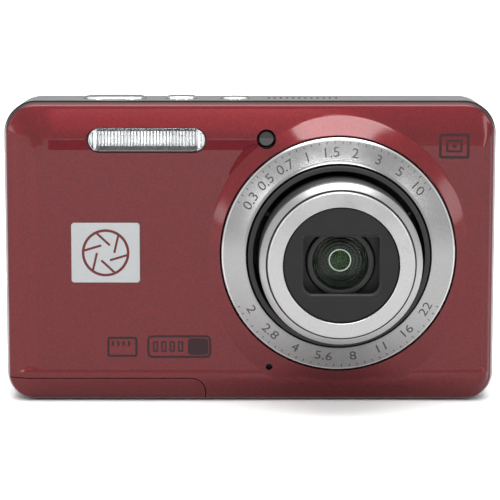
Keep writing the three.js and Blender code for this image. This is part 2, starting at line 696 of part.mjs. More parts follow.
// A sprung catch: its foot lies under the battery's edge and its stem runs up beside the holder.
const LATCH = { reach: 3.2, thick: 0.6, right: -10.4, y0: -3, y1: 0, foot: 4.65, footThick: 0.5, top: 11.5 };
const latchFootTop = LATCH.foot + LATCH.footThick;
const latchFoot = block(LATCH.right - LATCH.reach, LATCH.right, LATCH.y0, LATCH.y1, LATCH.foot, latchFootTop);
const latchStem = block(LATCH.right - LATCH.thick, LATCH.right, LATCH.y0, LATCH.y1, LATCH.foot, LATCH.top);
place('battery_latch', latchFoot.add(latchStem), NYLON);

const CARD_ROOM = 0.1;
const SLOT_WALL = 0.35;
const SLOT_FOOT = 8;
const CARD_TRAVEL = 1.1; // room above the card for the push that lets it out
const slotOuter = roomRound(CARD, CARD_ROOM + SLOT_WALL, CARD_TRAVEL + SLOT_WALL, SLOT_FOOT);
place('card_slot', slotOuter.subtract(roomRound(CARD, CARD_ROOM, CARD_TRAVEL, 0)), STEEL);
place('memory_card', blockOf(CARD), BLACK);

const MAIN_BOARD = { x0: -43.6, x1: -5, y0: 3.4, y1: 4.2, z0: 5.2, z1: 45.6 };
const CHIP = { x0: -30, x1: -18, y0: 2.5, y1: 3.3, z0: 26, z1: 38 };
const CHASSIS = { x0: -15, x1: 43.5, y0: 4.6, y1: 5, z0: 5, z1: 50 };
place('main_board', blockOf(MAIN_BOARD), BOARD);
place('processor_chip', blockOf(CHIP), BLACK);
place('chassis_plate', blockOf(CHASSIS), STEEL);

export default camera;
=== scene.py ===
import json
import math

import bpy
from mathutils import Matrix, Vector


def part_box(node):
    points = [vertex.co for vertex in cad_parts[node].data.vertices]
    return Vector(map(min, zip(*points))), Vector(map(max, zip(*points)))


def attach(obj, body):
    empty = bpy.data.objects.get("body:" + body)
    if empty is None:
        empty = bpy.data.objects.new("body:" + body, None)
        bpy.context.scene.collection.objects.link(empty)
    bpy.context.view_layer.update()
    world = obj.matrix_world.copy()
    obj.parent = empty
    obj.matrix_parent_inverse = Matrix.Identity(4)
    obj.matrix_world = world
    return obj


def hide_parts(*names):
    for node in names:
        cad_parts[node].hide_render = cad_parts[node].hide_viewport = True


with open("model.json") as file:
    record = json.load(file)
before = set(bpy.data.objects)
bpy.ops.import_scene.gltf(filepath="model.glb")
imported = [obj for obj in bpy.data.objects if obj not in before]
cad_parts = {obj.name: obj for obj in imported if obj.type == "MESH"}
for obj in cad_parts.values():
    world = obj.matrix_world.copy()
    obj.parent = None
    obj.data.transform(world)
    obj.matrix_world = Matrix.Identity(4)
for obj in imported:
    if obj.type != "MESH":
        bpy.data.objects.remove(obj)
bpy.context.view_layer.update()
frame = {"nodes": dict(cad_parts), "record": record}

# Shapes are drawn in millimetres in the row frame, and scaled to metres as each piece is finished.
MM = 0.001
FAR = 60  # well outside the camera, where a cutting tool may end
X, Y, Z = 0, 1, 2

# ---------------------------------------------------------------- places read from the frame


def box_mm(node):
    """A CAD node's lowest and highest corners, in millimetres."""
    low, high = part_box(node)
    return low / MM, high / MM


def middle(node):
    low, high = box_mm(node)
    return (low + high) / 2


BODY_LOW, BODY_HIGH = box_mm("rear_cover")
FRONT_LOW, FRONT_HIGH = box_mm("front_cover")
DOOR_LOW, DOOR_HIGH = box_mm("battery_door")
TOP_LOW, TOP_HIGH = box_mm("top_cover")
BEZEL_LOW, BEZEL_HIGH = box_mm("lens_bezel")
LENS = middle("lens_bezel")
BEZEL_RADIUS = (BEZEL_HIGH.x - BEZEL_LOW.x) / 2
BADGE_LOW, BADGE_HIGH = box_mm("front_badge")
FLAT_Y = BADGE_HIGH.y  # the flat part of the front, which the badge is stuck to
SEAM_Y = BODY_LOW.y
BACK_Y = box_mm("lcd_window")[1].y
SIDE_X = BODY_HIGH.x
HEIGHT = BODY_HIGH.z
BEZEL_RIM_Y = FLAT_Y - 0.9
SEAM = 0.15  # the gap that shows between covers

# ---------------------------------------------------------------- camera, light and floor

LAMP_AIM = (0, 0, 0.03)
WALL_LIGHT = 1.2
CEILING_LIGHT = 0.95
BACK_WALL_SHARE = 0.2
SKYLIGHT = 4.5


def add_camera():
    data = bpy.data.cameras.new("camera")
    camera = bpy.data.objects.new("camera", data)
    bpy.context.scene.collection.objects.link(camera)
    distance = 0.4
    height = 0.0843
    pitch = math.radians(7.9)
    camera.location = (0, BEZEL_RIM_Y * MM - distance, height)
    camera.rotation_euler = (math.radians(90) - pitch, 0, 0)
    data.lens = 157.8
    data.sensor_width = 36
    data.clip_start = 0.01
    bpy.context.scene.camera = camera


def add_area(name, location, target, size, power):
    data = bpy.data.lights.new(name, "AREA")
    data.shape = "RECTANGLE"
    data.size, data.size_y = size
    data.energy = power
    light = bpy.data.objects.new(name, data)
    light.location = location
    aim = Vector(target) - Vector(location)
    light.rotation_euler = aim.to_track_quat("-Z", "Y").to_euler()
    bpy.context.scene.collection.objects.link(light)


def add_world():
    """Pale walls in front and at the sides, a darker one behind, and a bright skylight overhead."""
    world = bpy.data.worlds.new("room")
    world.use_nodes = True
    nodes, links = world.node_tree.nodes, world.node_tree.links
    place = nodes.new("ShaderNodeTexCoord")
    axes = nodes.new("ShaderNodeSeparateXYZ")
    links.new(place.outputs["Generated"], axes.inputs["Vector"])

    def ramp(output, stops):
        made = nodes.new("ShaderNodeMapRange")
        made.interpolation_type = "SMOOTHSTEP"
        made.inputs["From Min"].default_value, made.inputs["From Max"].default_value = stops[0]
        made.inputs["To Min"].default_value, made.inputs["To Max"].default_value = stops[1]
        links.new(axes.outputs[output], made.inputs["Value"])
        return made.outputs["Result"]

    by_height = ramp("Z", ((0.35, 0.85), (WALL_LIGHT, CEILING_LIGHT)))
    by_side = ramp("Y", ((0.2, 0.8), (1.0, BACK_WALL_SHARE)))
    skylight = ramp("Z", ((0.86, 0.92), (0.0, SKYLIGHT)))
    total = nodes.new("ShaderNodeMath")
    total.operation = "MULTIPLY_ADD"
    links.new(by_height, total.inputs[0])
    links.new(by_side, total.inputs[1])
    links.new(skylight, total.inputs[2])
    background = nodes["Background"]
    background.inputs["Color"].default_value = (1, 1, 1, 1)
    links.new(total.outputs["Value"], background.inputs["Strength"])
    bpy.context.scene.world = world


def add_floor():
    mesh = bpy.data.meshes.new("floor")
    reach = 12
    corners = [(-reach, -reach, 0), (reach, -reach, 0), (reach, reach, 0), (-reach, reach, 0)]
    mesh.from_pydata(corners, [], [(0, 1, 2, 3)])
    floor = bpy.data.objects.new("floor", mesh)
    bpy.context.scene.collection.objects.link(floor)
    material = bpy.data.materials.new("floor_white")
    material.use_nodes = True
    shader = material.node_tree.nodes["Principled BSDF"]
    shader.inputs["Base Color"].default_value = (0.8, 0.8, 0.8, 1)
    shader.inputs["Roughness"].default_value = 0.8
    mesh.materials.append(material)


add_camera()
add_world()
add_area("softbox", location=(0, -0.81, 0.64), target=LAMP_AIM, size=(0.52, 0.25), power=4.7)
for side in (-1, 1):
    add_area("strip", location=(side * 0.85, -1.05, 0.4), target=LAMP_AIM, size=(0.3, 0.7), power=3)
add_area("bank", location=(0, 2.8, 3), target=(0, 2.8, 0), size=(5, 5), power=50)
add_floor()
bpy.context.scene.view_settings.view_transform = "Standard"

# ---------------------------------------------------------------- materials


class Finish:
    """A node material, with helpers that add detail at a real scale."""

    def __init__(self, name, colour, roughness, metallic=0.0, **sockets):
        self.material = bpy.data.materials.new(name)
        self.material.use_nodes = True
        self.nodes = self.material.node_tree.nodes
        self.links = self.material.node_tree.links
        self.shader = self.nodes["Principled BSDF"]
        self.colour = (*colour, 1)
        self.shader.inputs["Base Color"].default_value = self.colour
        self.shader.inputs["Roughness"].default_value = roughness
        self.shader.inputs["Metallic"].default_value = metallic
        for socket, value in sockets.items():
            self.shader.inputs[socket.replace("_", " ")].default_value = value
        self.place = self.nodes.new("ShaderNodeTexCoord").outputs["Object"]
        self.height = None

    def node(self, kind, **inputs):
        """A new node with these values at its inputs."""
        made = self.nodes.new("ShaderNode" + kind)
        for socket, value in inputs.items():
            made.inputs[socket.replace("_", " ")].default_value = value
        return made

    def noise(self, size_mm, detail=2.0, stretch=(1, 1, 1)):
        mapping = self.node("Mapping", Scale=stretch)
        noise = self.node("TexNoise", Scale=1 / (size_mm * MM), Detail=detail)
        self.links.new(self.place, mapping.inputs["Vector"])
        self.links.new(mapping.outputs["Vector"], noise.inputs["Vector"])
        return noise.outputs["Fac"]

    def flakes(self, size_mm):
        cells = self.node("TexVoronoi", Scale=1 / (size_mm * MM))
        self.links.new(self.place, cells.inputs["Vector"])
        axes = self.node("SeparateColor")
        self.links.new(cells.outputs["Color"], axes.inputs["Color"])
        return axes.outputs["Red"]

    def vary_colour(self, pattern, low, high):
        """The base colour runs from low to high times itself over the pattern."""
        ramp = self.node("ValToRGB")
        for stop, place, share in zip(ramp.color_ramp.elements, (0.25, 0.75), (low, high)):
            stop.position = place
            stop.color = (*(min(1, channel * share) for channel in self.colour[:3]), 1)
        self.links.new(pattern, ramp.inputs["Fac"])
        self.links.new(ramp.outputs["Color"], self.shader.inputs["Base Color"])
        return self

    def vary_roughness(self, pattern, low, high):
        spread = self.node("MapRange", From_Min=0.3, From_Max=0.7, To_Min=low, To_Max=high)
        self.links.new(pattern, spread.inputs["Value"])
        self.links.new(spread.outputs["Result"], self.shader.inputs["Roughness"])
        return self

    def bump(self, pattern, depth_mm):
        bump = self.node("Bump", Distance=depth_mm * MM, Strength=1.0)
        self.links.new(pattern, bump.inputs["Height"])
        if self.height:
            self.links.new(self.height, bump.inputs["Normal"])
        self.height = bump.outputs["Normal"]
        self.links.new(self.height, self.shader.inputs["Normal"])
        return self


def red_paint():
    """Metallic lacquer: fine flakes under a clear coat, with a slow drift in tone."""
    finish = Finish("red_paint", (0.086, 0.004, 0.0062), 0.4, 1.0, Coat_Weight=0.6, Coat_Roughness=0.1)
    finish.vary_colour(finish.flakes(0.13), 0.78, 1.22)
    finish.vary_roughness(finish.noise(14, 3), 0.36, 0.42)
    return finish.bump(finish.noise(0.3), 0.004).material


# painted shade: a dark red for the brow's steep facet and its end, standing in for the shade on them
def painted_shade_red_paint():
    finish = Finish("red_painted_shade", (0.075, 0.003, 0.007), 0.5, 0.0, Specular_IOR_Level=0.1)
    finish.vary_colour(finish.flakes(0.16), 0.85, 1.15)
    return finish.bump(finish.noise(0.3), 0.003).material


def moulded(name, colour, roughness, grain_mm=0.25, depth_mm=0.012, **sockets):
    """Moulded plastic with a fine spark-eroded grain."""
    finish = Finish(name, colour, roughness, **sockets)
    finish.vary_colour(finish.noise(9, 3), 0.93, 1.06)
    finish.vary_roughness(finish.noise(3, 4), roughness - 0.05, roughness + 0.06)
    return finish.bump(finish.noise(grain_mm, 3), depth_mm).material


def blasted_metal(name, colour, roughness, grain_mm=0.12, depth_mm=0.01):
    finish = Finish(name, colour, roughness, 1.0)
    finish.vary_colour(finish.noise(0.35, 3), 0.93, 1.05)
    finish.vary_roughness(finish.noise(5, 3), roughness - 0.03, roughness + 0.05)
    return finish.bump(finish.noise(grain_mm, 2), depth_mm).material


def polished_metal(name, colour, roughness):
    finish = Finish(name, colour, roughness, 1.0)
    finish.vary_roughness(finish.noise(2, 5), roughness, roughness + 0.08)
    return finish.bump(finish.noise(1.2, 5), 0.002).material


def brushed_metal(name, colour, roughness, stretch):
    finish = Finish(name, colour, roughness, 1.0)
    lines = finish.noise(1.5, 4, stretch)
    finish.vary_colour(lines, 0.9, 1.06)
    finish.vary_roughness(lines, roughness - 0.05, roughness + 0.1)
    return finish.bump(lines, 0.004).material


def coated_glass(name, colour, index, roughness=0.02):
    """Lens glass with an anti-reflection coating, which leaves it little of its shine."""
    finish = Finish(name, colour, roughness, Transmission_Weight=1.0, IOR=index)
    return finish.bump(finish.noise(6, 1), 0.0004).material


def clear_plastic():
    finish = Finish("clear_plastic", (0.93, 0.95, 0.95), 0.04, Transmission_Weight=1.0, IOR=1.49)
    return finish.bump(finish.noise(5, 1), 0.0008).material


def dark_glass(name, colour, shine=0.5):
    """Black glass with a faint haze."""
    shine_sockets = {"Coat_Weight": shine / 2, "Coat_Roughness": 0.03, "Specular_IOR_Level": shine}
    finish = Finish(name, colour, 0.07, **shine_sockets)
    finish.vary_roughness(finish.noise(16, 4), 0.05, 0.12)
    return finish.bump(finish.noise(30, 1), 0.002).material


def painted_green_reflection():
    """The deepest lens element inside the pupil, painted green with a mottled tone: painted reflection of
    the lens coatings.
    """
    finish = Finish("painted_green_reflection", (0.008, 0.026, 0.003), 0.3, Specular_IOR_Level=0.1)
    finish.vary_colour(finish.noise(1.1, 3), 0.35, 1.5)
    return finish.bump(finish.noise(1.3, 2), 0.02).material


def circuit_board():
    finish = Finish("circuit_board", (0.02, 0.11, 0.055), 0.45, Coat_Weight=0.3)
    finish.vary_colour(finish.flakes(1.2), 0.75, 1.25)
    return finish.bump(finish.flakes(0.9), 0.03).material


RED = red_paint()
PAINTED_SHADE_RED = painted_shade_red_paint()
GREY = moulded("grey_satin", (0.15, 0.149, 0.151), 0.42, Specular_IOR_Level=0.3)
KEY_GREY = moulded("key_grey", (0.2, 0.198, 0.202), 0.36)
CHARCOAL = moulded("barrel_charcoal", (0.012, 0.012, 0.0125), 0.45, 0.15, 0.006, Specular_IOR_Level=0.3)
BLACK = moulded("plate_black", (0.007, 0.007, 0.0072), 0.6, 0.18, 0.006, Specular_IOR_Level=0.2)
LENS_BLACK = moulded("lens_black", (0.006, 0.006, 0.005), 0.35, 0.8, 0.001, Specular_IOR_Level=0.2)
BAFFLE = moulded("baffle_black", (0.005, 0.005, 0.0055), 0.4, 0.3, 0.003, Specular_IOR_Level=0.3)
INK = moulded("dark_ink", (0.02, 0.009, 0.011), 0.6, 0.2, 0.003, Specular_IOR_Level=0.15)
PALE_INK = moulded("pale_ink", (0.6, 0.6, 0.6), 0.5, 0.2, 0.003)
RUBBER = moulded("soft_rubber", (0.25, 0.245, 0.25), 0.7, 0.4, 0.02)
NYLON = moulded("white_nylon", (0.72, 0.7, 0.64), 0.5)
SILVER = blasted_metal("satin_silver", (0.33, 0.33, 0.33), 0.3)
BEZEL_SILVER = blasted_metal("bezel_silver", (0.27, 0.27, 0.27), 0.22)
ENGRAVED = moulded("engraved_fill", (0.03, 0.03, 0.03), 0.6)
BADGE_SILVER = brushed_metal("badge_silver", (0.32, 0.328, 0.332), 0.42, (1, 1, 14))
CHROME = polished_metal("bright_chrome", (0.8, 0.8, 0.81), 0.1)
STEEL = brushed_metal("steel", (0.5, 0.5, 0.49), 0.32, (1, 12, 1))
FRONT_GLASS = coated_glass("front_glass", (0.9, 1.0, 0.92), 1.16)
INNER_GLASS = coated_glass("inner_glass", (0.75, 0.95, 0.8), 1.3)
LAMP_GLASS = dark_glass("lamp_glass", (0.006, 0.004, 0.0045), 0.5)
RIM_SILVER = polished_metal("rim_silver", (0.5, 0.5, 0.5), 0.12)
DISPLAY_GLASS = dark_glass("display_glass", (0.004, 0.004, 0.005), 0.18)
SCREEN = dark_glass("screen_area", (0.009, 0.0105, 0.014), 0.18)
CLEAR = clear_plastic()
REFLECTOR = blasted_metal("flash_reflector", (0.66, 0.67, 0.68), 0.4, 0.4, 0.003)
GREEN_PAINTED_REFLECTION = painted_green_reflection()
BOARD = circuit_board()

SLOT_FINISH = {
    "red_paint": RED,
    "grey_plastic": GREY,
    "satin_silver": SILVER,
    "bright_chrome": CHROME,
    "charcoal_plastic": CHARCOAL,
    "black_plastic": BAFFLE,
    "lens_glass": INNER_GLASS,
    "clear_plastic": CLEAR,
    "steel": STEEL,
    "white_nylon": NYLON,
    "soft_rubber": RUBBER,
    "circuit_board": BOARD,
}
SLOT_OF = {part["node"]: part["material_slot"] for part in frame["record"]["subparts"]}
BODY_OF = {
    node: body for body, nodes in frame["record"]["behaviour"]["bodies"].items() for node in nodes
}
for node_name, node_object in frame["nodes"].items():
    node_object.data.materials.clear()
    node_object.data.materials.append(SLOT_FINISH[SLOT_OF[node_name]])
microphone = frame["nodes"]["microphone"].data
microphone.materials.clear()
microphone.materials.append(BAFFLE)

# ---------------------------------------------------------------- mesh tools


def mixed(a, b, t):
    return a + (b - a) * t


def smooth_step(t):
    t = min(max(t, 0), 1)
    return t * t * (3 - 2 * t)


def quarter_turn(steps):
    """The angles of a quarter circle."""
    return [0.5 * math.pi * i / steps for i in range(steps + 1)]


def at_depth(outline, y):
    """The points of an (x, z) outline, placed at a y."""
    return [(x, y, z) for x, z in outline]


def new_object(name, points, faces, material=None):
    mesh = bpy.data.meshes.new(name)
    mesh.from_pydata([tuple(p) for p in points], [], faces)
    mesh.validate()
    made = bpy.data.objects.new(name, mesh)
    bpy.context.scene.collection.objects.link(made)
    if material:
        mesh.materials.append(material)
    return made


def flip_if_inside_out(made):
    """Turns the faces outwards, by the sign of the volume that they enclose."""
    mesh = made.data
    mesh.calc_loop_triangles()
    volume = 0.0
    for triangle in mesh.loop_triangles:
        a, b, c = (mesh.vertices[i].co for i in triangle.vertices)
        volume += a.dot(b.cross(c))
    if volume < 0:
        mesh.flip_normals()
    return made


def loft(name, rings, material=None):
    """A closed solid through rings of points, each with the same number of points."""
    count = len(rings[0])
    faces = []
    for ring in range(len(rings) - 1):
        for i in range(count):
            a = ring * count + i
            b = ring * count + (i + 1) % count
            faces.append((a, b, b + count, a + count))
    last = (len(rings) - 1) * count
    faces.append(tuple(reversed(range(count))))
    faces.append(tuple(range(last, last + count)))
    points = [p for ring in rings for p in ring]
    return flip_if_inside_out(new_object(name, points, faces, material))


def turned(name, outline, material=None, sides=192, centre=None):
    """A closed outline of (radius, y) corners, turned round the lens axis or another centre."""
    centre = centre or LENS
    points, rows, faces = [], [], []
    for radius, y in outline:
        if radius < 1e-6:
            rows.append([len(points)] * sides)
            points.append((centre.x, y, centre.z))
            continue
        rows.append(list(range(len(points), len(points) + sides)))
        for i in range(sides):
            angle = 2 * math.pi * i / sides
            points.append((centre.x + radius * math.cos(angle), y, centre.z + radius * math.sin(angle)))
    for row, following in zip(rows, rows[1:] + rows[:1]):
        for i in range(sides):
            j = (i + 1) % sides
            corners = list(dict.fromkeys((row[i], row[j], following[j], following[i])))
            if len(corners) > 2:
                faces.append(tuple(corners))
    return flip_if_inside_out(new_object(name, points, faces, material))


def softened(outline, radius, steps=4):
    """A closed outline of 2-D corners with each corner rounded to about this radius."""
    made = []
    for i, corner in enumerate(outline):
        here = Vector(corner)
        if abs(here.x) < 1e-6:
            made.append(tuple(here))
            continue
        before = Vector(outline[i - 1]) - here
        after = Vector(outline[(i + 1) % len(outline)]) - here
        reach = min(radius, before.length * 0.45, after.length * 0.45)
        start = here + before.normalized() * reach
        end = here + after.normalized() * reach
        for k in range(steps + 1):
            t = k / steps
            made.append(tuple(start * (1 - t) ** 2 + here * 2 * t * (1 - t) + end * t**2))
    return made


def rounded_rectangle(left, right, bottom, top, radius, steps=12, low_radius=None):
    """Points of a rounded rectangle, anticlockwise from the bottom right corner."""
    low = radius if low_radius is None else low_radius
    corners = [
        (right - low, bottom + low, low, -0.5 * math.pi),
        (right - radius, top - radius, radius, 0),
        (left + radius, top - radius, radius, 0.5 * math.pi),
        (left + low, bottom + low, low, math.pi),
    ]
    points = []
    for x, z, r, start in corners:
        for turn in quarter_turn(steps):
            points.append((x + r * math.cos(start + turn), z + r * math.sin(start + turn)))
    return points


def plate(name, rectangle, y0, y1, material=None, edge=0.0, edge_steps=4, steps=12, both=False):
    """A rounded rectangle (left, right, bottom, top, radius) from y0 to y1.

    Its edge towards y0 is rounded, or both edges.
    """
    left, right, bottom, top, radius = rectangle

    def ring(inset, y):
        sides = (left + inset, right - inset, bottom + inset, top - inset)
        return at_depth(rounded_rectangle(*sides, max(radius - inset, 0.02), steps), y)

    away = edge if y1 > y0 else -edge
    turns = quarter_turn(edge_steps)
    rings = [ring(0, y0)]
    if edge:
        rings = [ring(edge * (1 - math.sin(a)), y0 + away * (1 - math.cos(a))) for a in turns]
    if both:
        rings += [ring(edge * (1 - math.cos(a)), y1 - away * (1 - math.sin(a))) for a in turns]
    else:
        rings.append(ring(0, y1))
    return loft(name, rings, material)


def prism(name, outline, y0, y1, material=None):
    """An (x, z) outline made solid from y0 to y1."""
    return loft(name, [at_depth(outline, y) for y in (y0, y1)], material)


def turn_to_top(made):
    """Turns a piece drawn facing -Y so that it faces up: y becomes -z, and z becomes y."""
    made.data.transform(Matrix(((1, 0, 0, 0), (0, 0, 1, 0), (0, -1, 0, 0), (0, 0, 0, 1))))
    return made


def block(name, low, high, material=None):
    points = [(x, y, z) for x in (low[0], high[0]) for y in (low[1], high[1]) for z in (low[2], high[2])]
    faces = [(0, 1, 3, 2), (4, 6, 7, 5), (0, 4, 5, 1), (2, 3, 7, 6), (0, 2, 6, 4), (1, 5, 7, 3)]
    return flip_if_inside_out(new_object(name, points, faces, material))


def rod(name, radius, start, end, material=None, sides=48, edge=0.0):
    """A round rod between two points, with its end edges chamfered."""
    start, end = Vector(start), Vector(end)
    along = (end - start).normalized()
    side = along.orthogonal().normalized()
    other = along.cross(side)
    rings = []
    for inset, at in ((edge, start), (0, start + along * edge), (0, end - along * edge), (edge, end)):
        rings.append(
            [
                at + (side * math.cos(a) + other * math.sin(a)) * (radius - inset)
                for a in (2 * math.pi * i / sides for i in range(sides))
            ]
        )
    if not edge:
        rings = [rings[0], rings[3]]
    return loft(name, rings, material)


def bake_modifiers(made):
    graph = bpy.context.evaluated_depsgraph_get()
    graph.update()
    mesh = bpy.data.meshes.new_from_object(made.evaluated_get(graph))
    old = made.data
    made.modifiers.clear()
    made.data = mesh
    bpy.data.meshes.remove(old)


def share_materials(target, tool):
    """Gives both objects the same list of materials, as a boolean goes by the index alone."""
    slots = target.data.materials
    places = []
    for material in tool.data.materials:
        if material not in slots[:]:
            slots.append(material)
        places.append(slots[:].index(material))
    indices = [places[p.material_index] if places else 0 for p in tool.data.polygons]
    tool.data.materials.clear()
    for material in slots:
        tool.data.materials.append(material)
    tool.data.polygons.foreach_set("material_index", indices)


def combine(target, operation, tools, solver="MANIFOLD"):
    """Joins, cuts or intersects target with each tool, and removes the tools."""
    for tool in tools:
        share_materials(target, tool)
        modifier = target.modifiers.new(operation, "BOOLEAN")
        modifier.operation = operation
        modifier.solver = solver
        modifier.object = tool
        bake_modifiers(target)
        bpy.data.objects.remove(tool)
    return target


def cut(target, *tools, solver="MANIFOLD"):
    return combine(target, "DIFFERENCE", tools, solver)


def join(target, *tools):
    return combine(target, "UNION", tools)


def keep_inside(target, *tools):
    return combine(target, "INTERSECT", tools)


def drill(target, node, axis, start, end, radius, material, sides=48):
    """Bores a round hole through the middle of a node, along x, y or z."""
    ends = (middle(node), middle(node))
    for point, place in zip(ends, (start, end)):
        point[axis] = place
    return cut(target, rod("hole", radius, *ends, material, sides))


def paint(made, material, test):
    """Gives the material to the faces that pass a test."""
    slots = made.data.materials
    if material not in slots[:]:
        slots.append(material)
    index = slots[:].index(material)
    for face in made.data.polygons:
        if test(face):
            face.material_index = index


def lens_radius(face):
    return math.hypot(face.center.x - LENS.x, face.center.z - LENS.z)


def gathered(name, parts):
    """Several loose solids as one object."""
    points, faces, materials, indices = [], [], [], []
    for part in parts:
        start = len(points)
        points += [part.matrix_world @ v.co for v in part.data.vertices]
        for polygon in part.data.polygons:
            faces.append(tuple(i + start for i in polygon.vertices))
            material = part.data.materials[polygon.material_index] if part.data.materials else None
            if material not in materials:
                materials.append(material)
            indices.append(materials.index(material))
    made = new_object(name, points, faces)
    for material in materials:
        made.data.materials.append(material)
    made.data.polygons.foreach_set("material_index", indices)
    for part in parts:
        bpy.data.objects.remove(part)
    return made


SMOOTH_BELOW = math.radians(22)


def finish_piece(made, name, node, *more_nodes):
    """Scales a piece to metres, smooths its gentle edges, and lets it stand for its CAD nodes."""
    made.name = name
    made.data.name = name
    made.data.transform(Matrix.Scale(MM, 4))
    mesh = made.data
    mesh.polygons.foreach_set("use_smooth", [True] * len(mesh.polygons))
    mesh.set_sharp_from_angle(angle=SMOOTH_BELOW)
    weighted = made.modifiers.new("even_normals", "WEIGHTED_NORMAL")
    weighted.keep_sharp = True
    weighted.weight = 80
    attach(made, BODY_OF[node])
    if more_nodes != (None,):
        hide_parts(node, *more_nodes)
    return made


def add_to(made, name, node):
    """A further piece that rides with a node and replaces nothing."""
    return finish_piece(made, name, node, None)


# ---------------------------------------------------------------- the body's form

FLAT_LEFT = FRONT_LOW.x + 5.9  # where the flat front ends and its bands begin
FLAT_RIGHT = FRONT_HIGH.x - 2.3
FLAT_BOTTOM = 6.6
FLAT_TOP = HEIGHT - 8
BAND_DROP = 1.1  # how far a band falls back before the edge rolls over
FRONT_SIDE = 0.2  # the front cover is this much smaller than the body behind it
FRONT_ROLL = 0.75  # the rounded edge of the front, seen from the front
FRONT_EDGE = SIDE_X - FRONT_SIDE
FRONT_CORNER = 5.2
FLAT = (FLAT_LEFT, FLAT_RIGHT, FLAT_BOTTOM, FLAT_TOP, 0.9)
BAND_FOOT = (
    -FRONT_EDGE + FRONT_ROLL,
    FRONT_EDGE - FRONT_ROLL,
    FRONT_SIDE + FRONT_ROLL,
    HEIGHT - FRONT_SIDE - FRONT_ROLL,
    FRONT_CORNER,
)
BAND_Y = FLAT_Y + BAND_DROP
CREASE = 0.08  # the share of a band over which its crease bends
BULGE = 0.55  # how far the bottom band swells before it falls back
BROW_DEPTH = 0.4  # how far the top band stands in front of the flat part
BROW_LEFT = FLAT_LEFT + 0.9
BROW_FOOT = FLAT_TOP - 0.85
BROW_TOP = FLAT_TOP + 1.05
BROW_BACK = BAND_FOOT[3] - 0.4
BODY_CORNER = 6
BACK_ROLL = 1.9  # the rounded edge of the back, seen from the side
BACK_INSET = 1.3  # how much smaller it leaves the back
WALL = 1.2
DOOR_CORNER = 2.6  # the rounded corner of the door's seam
COLLAR_FOOT = 25.0


def body_ring(y, left, right, bottom, top, radius):
    return at_depth(rounded_rectangle(left, right, bottom, top, radius, 24, radius * 0.85), y)


def body_section(y, inset, radius):
    """A section at y that is smaller all round than the body's outline."""
    return body_ring(y, -SIDE_X + inset, SIDE_X - inset, inset, HEIGHT - inset, radius)


def band_surface(share, z):
    """The y of the front at a share of the way out over its bands."""
    bend = min(share / CREASE, 1)
    swell = BULGE * math.sin(math.pi * share) * smooth_step((FLAT_BOTTOM + 0.5 - z) / 1.5)
    creased = share * (0.5 + 0.5 * bend)
    return mixed(FLAT_Y, BAND_Y, mixed(creased, share**1.4, smooth_step((z - FLAT_TOP) / 2.5))) - swell


def front_y(x, z):
    """The y of the front's surface at a place on its flat part or its bands."""
    shares = (
        (FLAT[0] - x) / (FLAT[0] - BAND_FOOT[0]),
        (x - FLAT[1]) / (BAND_FOOT[1] - FLAT[1]),
        (FLAT[2] - z) / (FLAT[2] - BAND_FOOT[2]),
        (z - FLAT[3]) / (BAND_FOOT[3] - FLAT[3]),
    )
    band = band_surface(min(max(0.0, *shares), 1.0), z)
    return min(band, brow_surface(x, z)) if BROW_FOOT < z < BROW_BACK else band


def front_rings(inset=0.0):
    """Sections of the front cover, from its flat part out over the bands to the seam."""
    rings = []
    for share in (0.0, 0.012, 0.035, CREASE, 0.14, 0.2, 0.3, 0.4, 0.5, 0.6, 0.7, 0.8, 0.9, 1.0):
        ring = body_ring(0, *(mixed(a, b, share) for a, b in zip(FLAT, BAND_FOOT)))
        rings.append([(x, band_surface(share, z) + inset, z) for x, _, z in ring])
    left, right, bottom, top, radius = BAND_FOOT
    for turn in quarter_turn(12)[1:]:
        out = FRONT_ROLL * math.sin(turn)
        y = mixed(BAND_Y, SEAM_Y - 0.2, 1 - math.cos(turn)) + inset
        rings.append(body_ring(y, left - out, right + out, bottom - out, top + out, radius + out * 0.9))
    return rings


def body_rings():
    """Sections of the middle and back of the body, with a rolled back edge."""
    rings = [body_section(y, 0, BODY_CORNER) for y in (SEAM_Y, SEAM_Y + 0.12)]
    for turn in quarter_turn(12):
        inset = BACK_INSET * (1 - math.cos(turn))
        y = BACK_Y - BACK_ROLL + BACK_ROLL * math.sin(turn)
        rings.append(body_section(y, inset, BODY_CORNER - 0.6 * inset))
    return rings


def hollow():
    """The space inside the body."""
    y = FLAT_Y + WALL
    rings = [
        body_ring(y, FLAT_LEFT + 1, FLAT_RIGHT - 1, FLAT_BOTTOM + 1, FLAT_TOP - 1, 0.9),
        body_ring(y + 1, -SIDE_X + 2.6, SIDE_X - 2.6, 3, HEIGHT - 3, 3.6),
        body_section(SEAM_Y + 1, WALL, 4.8),
        body_section(BACK_Y - 2.4, WALL, 4.8),
        body_section(BACK_Y - WALL, 2.3, 3.8),
    ]
    return loft("hollow", rings)


def door_room(gap):
    """The space that belongs to the door: its upper right corner is rounded."""
    right, top = DOOR_HIGH.x + gap, DOOR_HIGH.z + gap
    radius = DOOR_CORNER + gap
    outline = [(-FAR, -FAR), (right, -FAR)]
    for turn in quarter_turn(12):
        outline.append((right - radius + radius * math.cos(turn), top - radius + radius * math.sin(turn)))
    outline.append((-FAR, top))
    return prism("door_room", outline, -FAR, DOOR_HIGH.y + gap)


# ---------------------------------------------------------------- front cover and battery door


def collar_reach(degrees):
    """The radius of the collar's foot: it widens downwards, where it runs into the bottom band."""
    height = math.sin(math.radians(degrees))
    side = math.cos(math.radians(degrees)) ** 2
    low_reach = 23.4 + 3.4 * max(0.0, -height) ** 0.9
    high_reach = COLLAR_FOOT - 0.9 * side**3 + 0.7 * max(0.0, height) ** 9
    return mixed(high_reach, low_reach, smooth_step((0.25 - height) / 0.4))


